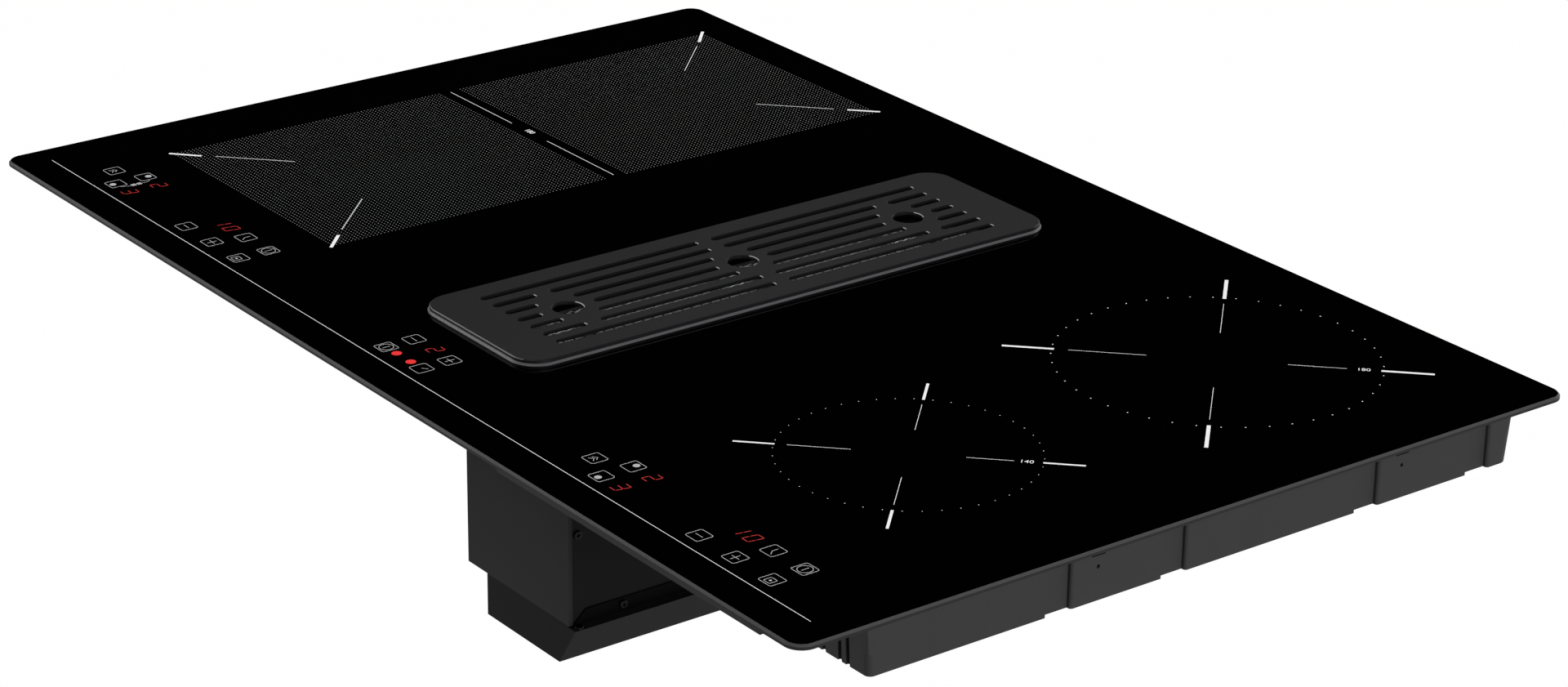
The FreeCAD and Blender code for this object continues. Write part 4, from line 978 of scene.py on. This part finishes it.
# The two side groups are alike: these are the left one's places
SIDE_KEYS = (
    (KeySign.BOOST, (-341.4, -213.0)), (KeySign.REAR_ZONE, (-321.7, -202.8)),
    (KeySign.FRONT_ZONE, (-321.4, -222.8)), (KeySign.MINUS, (-236.4, -222.9)),
    (KeySign.PLUS, (-206.3, -223.0)), (KeySign.CLOCK, (-201.4, -203.5)),
    (KeySign.LOCK, (-176.0, -223.1)), (KeySign.POWER, (-176.1, -203.3)))
SIDE_DIGITS = (("3", (-305.0, -222.4)), ("2", (-304.7, -203.0)), ("10", (-223.85, -203.3)))
RIGHT_SHIFT = 509.7
CENTRE_KEYS = (
    (KeySign.POWER, (-16.9, -223.0)), (KeySign.TIMER, (19.0, -223.0)),
    (KeySign.MINUS, (-17.3, -205.0)), (KeySign.PLUS, (18.6, -205.0)))
CENTRE_DIGITS = (("2", (1.5, -203.4)),)
CENTRE_LAMPS = ((-6.3, -223.0), (8.0, -223.0))
# Sign beside the left group's zone keys: a bracket with two squares joins the two halves
LINK_PATH = ((-316.3, -202.8), (-314.4, -204.4), (-313.7, -207.4), (-313.7, -218.4),
             (-314.4, -221.2), (-316.1, -222.7))
LINK_SQUARES = ((-313.9, -211.2), (-313.9, -215.0))


@dataclass
class TouchGroup:
    """One group of touch keys with its red digits and lamps."""

    name: str
    keys: tuple[tuple[KeySign, Point], ...]
    digits: tuple[tuple[str, Point], ...]
    lamps: tuple[Point, ...] = ()
    link_path: tuple[Point, ...] = ()
    link_squares: tuple[Point, ...] = ()
    box_side: float = 10.7
    box_corner: float = 1.5
    link_stroke: float = 0.245
    link_square: float = 2.9
    link_corner: float = 0.3
    digit_half_width: float = 2.6
    digit_half_height: float = 4.5
    digit_bar: float = 0.48
    digit_corner: float = 0.216
    digit_gap: float = 0.25
    digit_pitch: float = 10.7
    digit_slant: float = 0.18
    lamp_radius: float = 2.9
    lamp_corners: int = 32

    def print_keys(self) -> Piece:
        """Prints the key boxes with their signs.

        Returns:
            The finished print.
        """
        sheet = PrintSheet(self.name + "_key_print")
        for sign, at in self.keys:
            sheet.add_box(at, self.box_side, KEY_STROKE, self.box_corner)
            for mark in sign.value:
                mark.draw(sheet, at)
        for start, end in zip(self.link_path, self.link_path[1:]):
            sheet.add_bar(start, end, self.link_stroke)
        for at in self.link_squares:
            sheet.add_plate(at, self.link_square, self.link_square, corner=self.link_corner)
        return sheet.raised()

    def add_digit(self, sheet: PrintSheet, figure: str, at: Point) -> None:
        """Draws one digit from its lit bars, and leans it to the right.

        Args:
            sheet: print that gets the digit.
            figure: which digit.
            at: its centre.
        """
        first = len(sheet.shapes)
        for bar in LIT_BARS[figure]:
            across, up, stands = bar.value
            centre = moved(at, (across * self.digit_half_width, up * self.digit_half_height))
            span = self.digit_half_height if stands else 2 * self.digit_half_width
            turn = math.pi / 2 if stands else 0.0
            sheet.add_plate(centre, span - 2 * self.digit_gap, self.digit_bar, turn,
                            self.digit_corner)
        lean = Matrix.Identity(4)
        lean[0][1] = self.digit_slant
        about = Matrix.Translation((0, at[1] * MM, 0))
        for shape in sheet.shapes[first:]:
            shape.data.transform(about @ lean @ about.inverted())

    def light_digits(self) -> Piece:
        """Models the lit digits.

        Returns:
            The finished digits.
        """
        sheet = PrintSheet(self.name + "_digits")
        for text, at in self.digits:
            for place, figure in enumerate(text):
                along = (place - (len(text) - 1) / 2) * self.digit_pitch
                self.add_digit(sheet, figure, moved(at, (along, 0.0)))
        return sheet.raised()

    def light_lamps(self) -> Piece:
        """Models the round signal lamps.

        Returns:
            The finished lamps.
        """
        sheet = PrintSheet(self.name + "_lamps")
        for at in self.lamps:
            sheet.add_disc(at, self.lamp_radius, self.lamp_corners)
        return sheet.raised()

    def build(self, ink: Material, red: Material, lamp: Material) -> None:
        """Builds the group.

        Args:
            ink: ink of the keys.
            red: lit bars of the digits.
            lamp: lit signal lamps.
        """
        place_piece(self.print_keys(), ink, ROOT_BODY)
        place_piece(self.light_digits(), red, ROOT_BODY)
        if self.lamps:
            place_piece(self.light_lamps(), lamp, ROOT_BODY)


@dataclass
class FilterWeave:
    """Woven wire of the grease filter, in place of the coarse panel of the solid model."""

    pitch: float = 3.3
    wire: float = 0.8
    sides: int = 6
    wave_cuts: int = 3
    merge_share: float = 0.05
    tilt_deg: float = 12.0
    panel_thick: float = 1.2
    node: str = "filter_mesh"
    body: str = "filter"
    slot: str = "filter_steel"

    def strand(self, waves: int) -> Piece:
        """Models one wavy wire along Y, about the origin.

        Args:
            waves: number of whole waves.
        Returns:
            The wire.
        """
        start_clean()
        pitch, radius = self.pitch * MM, self.wire * MM / 2
        bpy.ops.mesh.primitive_cylinder_add(
            vertices=self.sides, radius=radius, depth=2 * pitch, end_fill_type="NOTHING",
            rotation=(math.pi / 2, 0, 0))
        wire = bpy.context.object
        apply_place(wire)
        with editing(Selected.NOTHING):
            bpy.ops.mesh.select_mode(type="EDGE")
        for edge in wire.data.edges:
            start, end = (wire.data.vertices[v].co.y for v in edge.vertices)
            edge.select = abs(start - end) > pitch
        with editing(Selected.AS_MARKED):
            bpy.ops.mesh.subdivide(number_cuts=self.wave_cuts)
            bpy.ops.mesh.select_mode(type="VERT")
        for vertex in wire.data.vertices:
            vertex.co.z += radius * math.cos(math.pi * vertex.co.y / pitch)
        repeat(wire, waves, (0, 2 * pitch, 0), use_merge_vertices=True,
               merge_threshold=radius * self.merge_share)
        wire.data.transform(Matrix.Translation((0, -(waves - 1) * pitch, 0)))
        return wire

    def layer(self, across: float, along: float, phase: float) -> Piece:
        """Lays wires side by side, every other one shifted by half a wave.

        Args:
            across: width of the layer in metres.
            along: length of the wires in metres.
            phase: shift of the first wire along its length in metres.
        Returns:
            The layer, wires along Y.
        """
        pitch = self.pitch * MM
        waves = math.ceil(along / (2 * pitch))
        pairs = round(across / (2 * pitch))
        first, second = self.strand(waves), self.strand(waves)
        second.data.transform(Matrix.Translation((pitch, pitch, 0)))
        both = joined([first, second], "wire_pair")
        both.data.transform(Matrix.Translation((-(pairs - 0.5) * pitch, phase, 0)))
        repeat(both, pairs, (2 * pitch, 0, 0))
        return both

    def trim(self, panel: Piece, width: float, length: float) -> None:
        """Cuts the wires at the frame's inner sides and closes their ends.

        Args:
            panel: the woven panel, flat about the origin.
            width: what is left along X in metres.
            length: what is left along Y in metres.
        """
        pick(panel)
        with editing():
            for normal in ((1, 0, 0), (-1, 0, 0), (0, 1, 0), (0, -1, 0)):
                edge = (normal[0] * width / 2, normal[1] * length / 2, 0)
                bpy.ops.mesh.select_all(action="SELECT")
                bpy.ops.mesh.bisect(plane_co=edge, plane_no=normal, clear_outer=True)
            bpy.ops.mesh.select_all(action="DESELECT")
            bpy.ops.mesh.select_non_manifold()
            bpy.ops.mesh.edge_face_add()
            bpy.ops.mesh.select_all(action="SELECT")
            bpy.ops.mesh.normals_make_consistent(inside=False)

    def build(self, steel: Material) -> None:
        """Weaves the panel where the solid one is.

        Args:
            steel: what the wires are made of.
        """
        low, high = (Vector(corner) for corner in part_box(self.node))
        tilt = math.radians(self.tilt_deg)
        width = ((high.x - low.x) - self.panel_thick * MM * math.sin(tilt)) / math.cos(tilt)
        length = high.y - low.y
        warp = self.layer(width, length, 0.0)
        weft = self.layer(length, width, self.pitch * MM / 2)
        weft.data.transform(Matrix.Rotation(math.pi / 2, 4, "Z"))
        panel = joined([warp, weft], "filter_weave")
        self.trim(panel, width, length)
        middle = Matrix.Translation((low + high) / 2)
        panel.data.transform(middle @ Matrix.Rotation(-tilt, 4, "Y"))
        bpy.ops.object.shade_smooth()
        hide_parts(self.node)
        place_piece(panel, steel, self.body)


SLOT_FINISHES = {
    GLASS_SLOT: BLACK_GLASS, "foam_seal": FOAM, "grille_coating": POWDER_COAT,
    "filter_steel": BRUSHED_STEEL, "housing_paint": SATIN_PAINT, "black_moulding": BLACK_MOULDING,
    "tray_moulding": TRAY_MOULDING, "screw_steel": SCREW_STEEL, "motor_steel": ZINC_STEEL,
    "bare_aluminium": BARE_ALUMINIUM, "ferrite": FERRITE, "mica_sheet": MICA,
    "sensor_rubber": SILICONE, "circuit_board": CIRCUIT_BOARD, "component_plastic": COMPONENT,
    DISPLAY_SLOT: DISPLAY_LENS,
}
NODE_FINISHES = {"extractor_front_cover": FRONT_LIT_PAINT, "grille_rim": RIM_COAT}
COIL_SLOT = "copper_winding"
TROUGH = "sump_trough"
TROUGH_GASKET = "sump_gasket"
# The dark lip begins this far above the gasket's underside, in millimetres
DARK_LIP_CLEARANCE = 0.1


def own_finish(node: str, slot: str) -> Finish | None:
    """Finds the finish of a node that doesn't simply take its slot's.

    Args:
        node: name of the node.
        slot: the record's material slot of the node.
    Returns:
        The finish, or None where the slot's finish will do.
    """
    if slot == COIL_SLOT:
        low, high = (Vector(corner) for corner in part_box(node))
        return replace(WOUND_COPPER, name=f"{node}_{WOUND_COPPER.name}",
                       centre=tuple((low + high) / 2))
    if node == TROUGH:
        low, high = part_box(TROUGH_GASKET)
        return replace(LIPPED_PAINT, corner=(high[0], low[2] + DARK_LIP_CLEARANCE * MM))
    return NODE_FINISHES.get(node)


def dress_solids() -> None:
    """Gives every node of the solid model a finish of its own or that of its slot."""
    made = {slot: finish.make() for slot, finish in SLOT_FINISHES.items()}
    for row in frame["record"]["subparts"]:
        node, slot = row["node"], row["material_slot"]
        own = own_finish(node, slot)
        material = own.make() if own else made[slot]
        dress(frame["nodes"][node], material)
        log.info("%s dressed in %s", node, material.name)


@dataclass
class Lamp:
    """A square soft lamp that looks at the cooktop."""

    name: str
    place: Place
    side: float
    power: float

    def build(self) -> None:
        """Sets the lamp up."""
        light = bpy.data.lights.new(self.name, "AREA")
        light.shape = "SQUARE"
        light.size = self.side
        light.energy = self.power
        lamp = bpy.data.objects.new(self.name, light)
        bpy.context.scene.collection.objects.link(lamp)
        lamp.location = self.place
        lamp.rotation_euler = (-Vector(self.place)).to_track_quat("-Z", "Y").to_euler()


@dataclass
class Studio:
    """Camera, soft lamps, a pale floor with a low wall far off, and a dim surround."""

    camera_place: Place = (1.7756491, -1.3106646, 0.8909665)
    camera_turn_deg: Place = (67.1056, -0.73205, 53.1573)
    lens_mm: float = 95.9255
    sensor_mm: float = 36.0
    clip: Span = (0.05, 100.0)
    floor_level: float = -0.9
    floor_radius: float = 14.0
    floor_corners: int = 96
    wall_top: float = 1.9
    floor_colour: str = "#bababa"
    floor_share: float = 0.995
    surround: str = "#0c0c0c"
    lamps: tuple[Lamp, ...] = (
        Lamp("front_left_softbox", (-1.9, -1.45, 0.95), side=1.15, power=32.0),
        Lamp("right_softbox", (3.4, -0.1, 0.9), side=1.8, power=86.0),
        Lamp("front_right_softbox", (1.6, -2.6, 3.4), side=2.2, power=38.0),
        Lamp("rear_left_softbox", (-1.6, 1.9, 3.9), side=2.2, power=66.0),
        Lamp("rear_softbox", (0.4, 3.4, 0.6), side=1.8, power=34.0))

    def camera(self) -> None:
        """Stands the camera where the picture was taken from."""
        data = bpy.data.cameras.new("viewpoint")
        data.lens = self.lens_mm
        data.sensor_width = self.sensor_mm
        data.sensor_fit = "HORIZONTAL"
        data.clip_start, data.clip_end = self.clip
        camera = bpy.data.objects.new("viewpoint", data)
        bpy.context.scene.collection.objects.link(camera)
        camera.location = self.camera_place
        camera.rotation_euler = [math.radians(angle) for angle in self.camera_turn_deg]
        bpy.context.scene.camera = camera

    def floor_material(self) -> Material:
        """Matt pale floor that stays white to the eye and in reflections.

        Returns:
            The floor's material.
        """
        material = bpy.data.materials.new("matt_pale_floor")
        tree = empty_tree(material)
        path = add_node(tree, "ShaderNodeLightPath").outputs
        seen = path["Is Camera Ray"]
        for ray in ("Is Glossy Ray", "Is Transmission Ray"):
            seen = add_node(tree, "ShaderNodeMath", {0: seen, 1: path[ray]},
                            operation="MAXIMUM").outputs["Value"]
        share = add_node(tree, "ShaderNodeMath", {0: seen, 1: self.floor_share},
                         operation="MULTIPLY").outputs["Value"]
        matt = add_node(tree, "ShaderNodeBsdfDiffuse", {"Color": linear(self.floor_colour)})
        white = add_node(tree, "ShaderNodeEmission", {"Strength": 1.0})
        mixed = add_node(tree, "ShaderNodeMixShader", {
            0: share, 1: matt.outputs["BSDF"], 2: white.outputs["Emission"]})
        add_node(tree, "ShaderNodeOutputMaterial", {"Surface": mixed.outputs["Shader"]})
        return material

    def floor(self) -> None:
        """Models the floor with its low far wall."""
        start_clean()
        bpy.ops.mesh.primitive_circle_add(
            vertices=self.floor_corners, radius=self.floor_radius, fill_type="NGON",
            location=(0, 0, self.floor_level))
        floor = bpy.context.object
        apply_place(floor)
        with editing():
            bpy.ops.mesh.extrude_edges_move()
            bpy.ops.transform.translate(value=(0, 0, self.wall_top - self.floor_level))
        floor.name = "floor"
        dress(floor, self.floor_material())

    def world(self) -> None:
        """Surrounds the scene with a dim even grey."""
        world = bpy.data.worlds.new("dim_surround")
        tree = empty_tree(world)
        back = add_node(tree, "ShaderNodeBackground", {
            "Color": linear(self.surround), "Strength": 1.0})
        add_node(tree, "ShaderNodeOutputWorld", {"Surface": back.outputs["Background"]})
        bpy.context.scene.world = world

    def build(self) -> None:
        """Sets the studio up."""
        self.camera()
        self.floor()
        self.world()
        for lamp in self.lamps:
            lamp.build()
        bpy.context.scene.view_settings.view_transform = "Standard"
        log.info("studio ready with %d lamps", len(self.lamps))


def main() -> None:
    """Dresses the solids and builds the prints, the lit digits, the weave and the studio."""
    groups = (
        TouchGroup("left", SIDE_KEYS, SIDE_DIGITS, link_path=LINK_PATH, link_squares=LINK_SQUARES),
        TouchGroup("centre", CENTRE_KEYS, CENTRE_DIGITS, CENTRE_LAMPS),
        TouchGroup("right", shifted(SIDE_KEYS, RIGHT_SHIFT), shifted(SIDE_DIGITS, RIGHT_SHIFT)))
    white, grey, key, red, lamp = (
        finish.make() for finish in (GLOWING_WHITE_INK, GREY_INK, KEY_INK, RED_SEGMENT, RED_LAMP))
    dress_solids()
    ZonePrint().build(white, grey)
    for group in groups:
        group.build(key, red, lamp)
    FilterWeave().build(STEEL_WIRE.make())
    Studio().build()


if __name__ == "__main__":
    logging.basicConfig(level=logging.INFO, format="%(message)s")
    main()
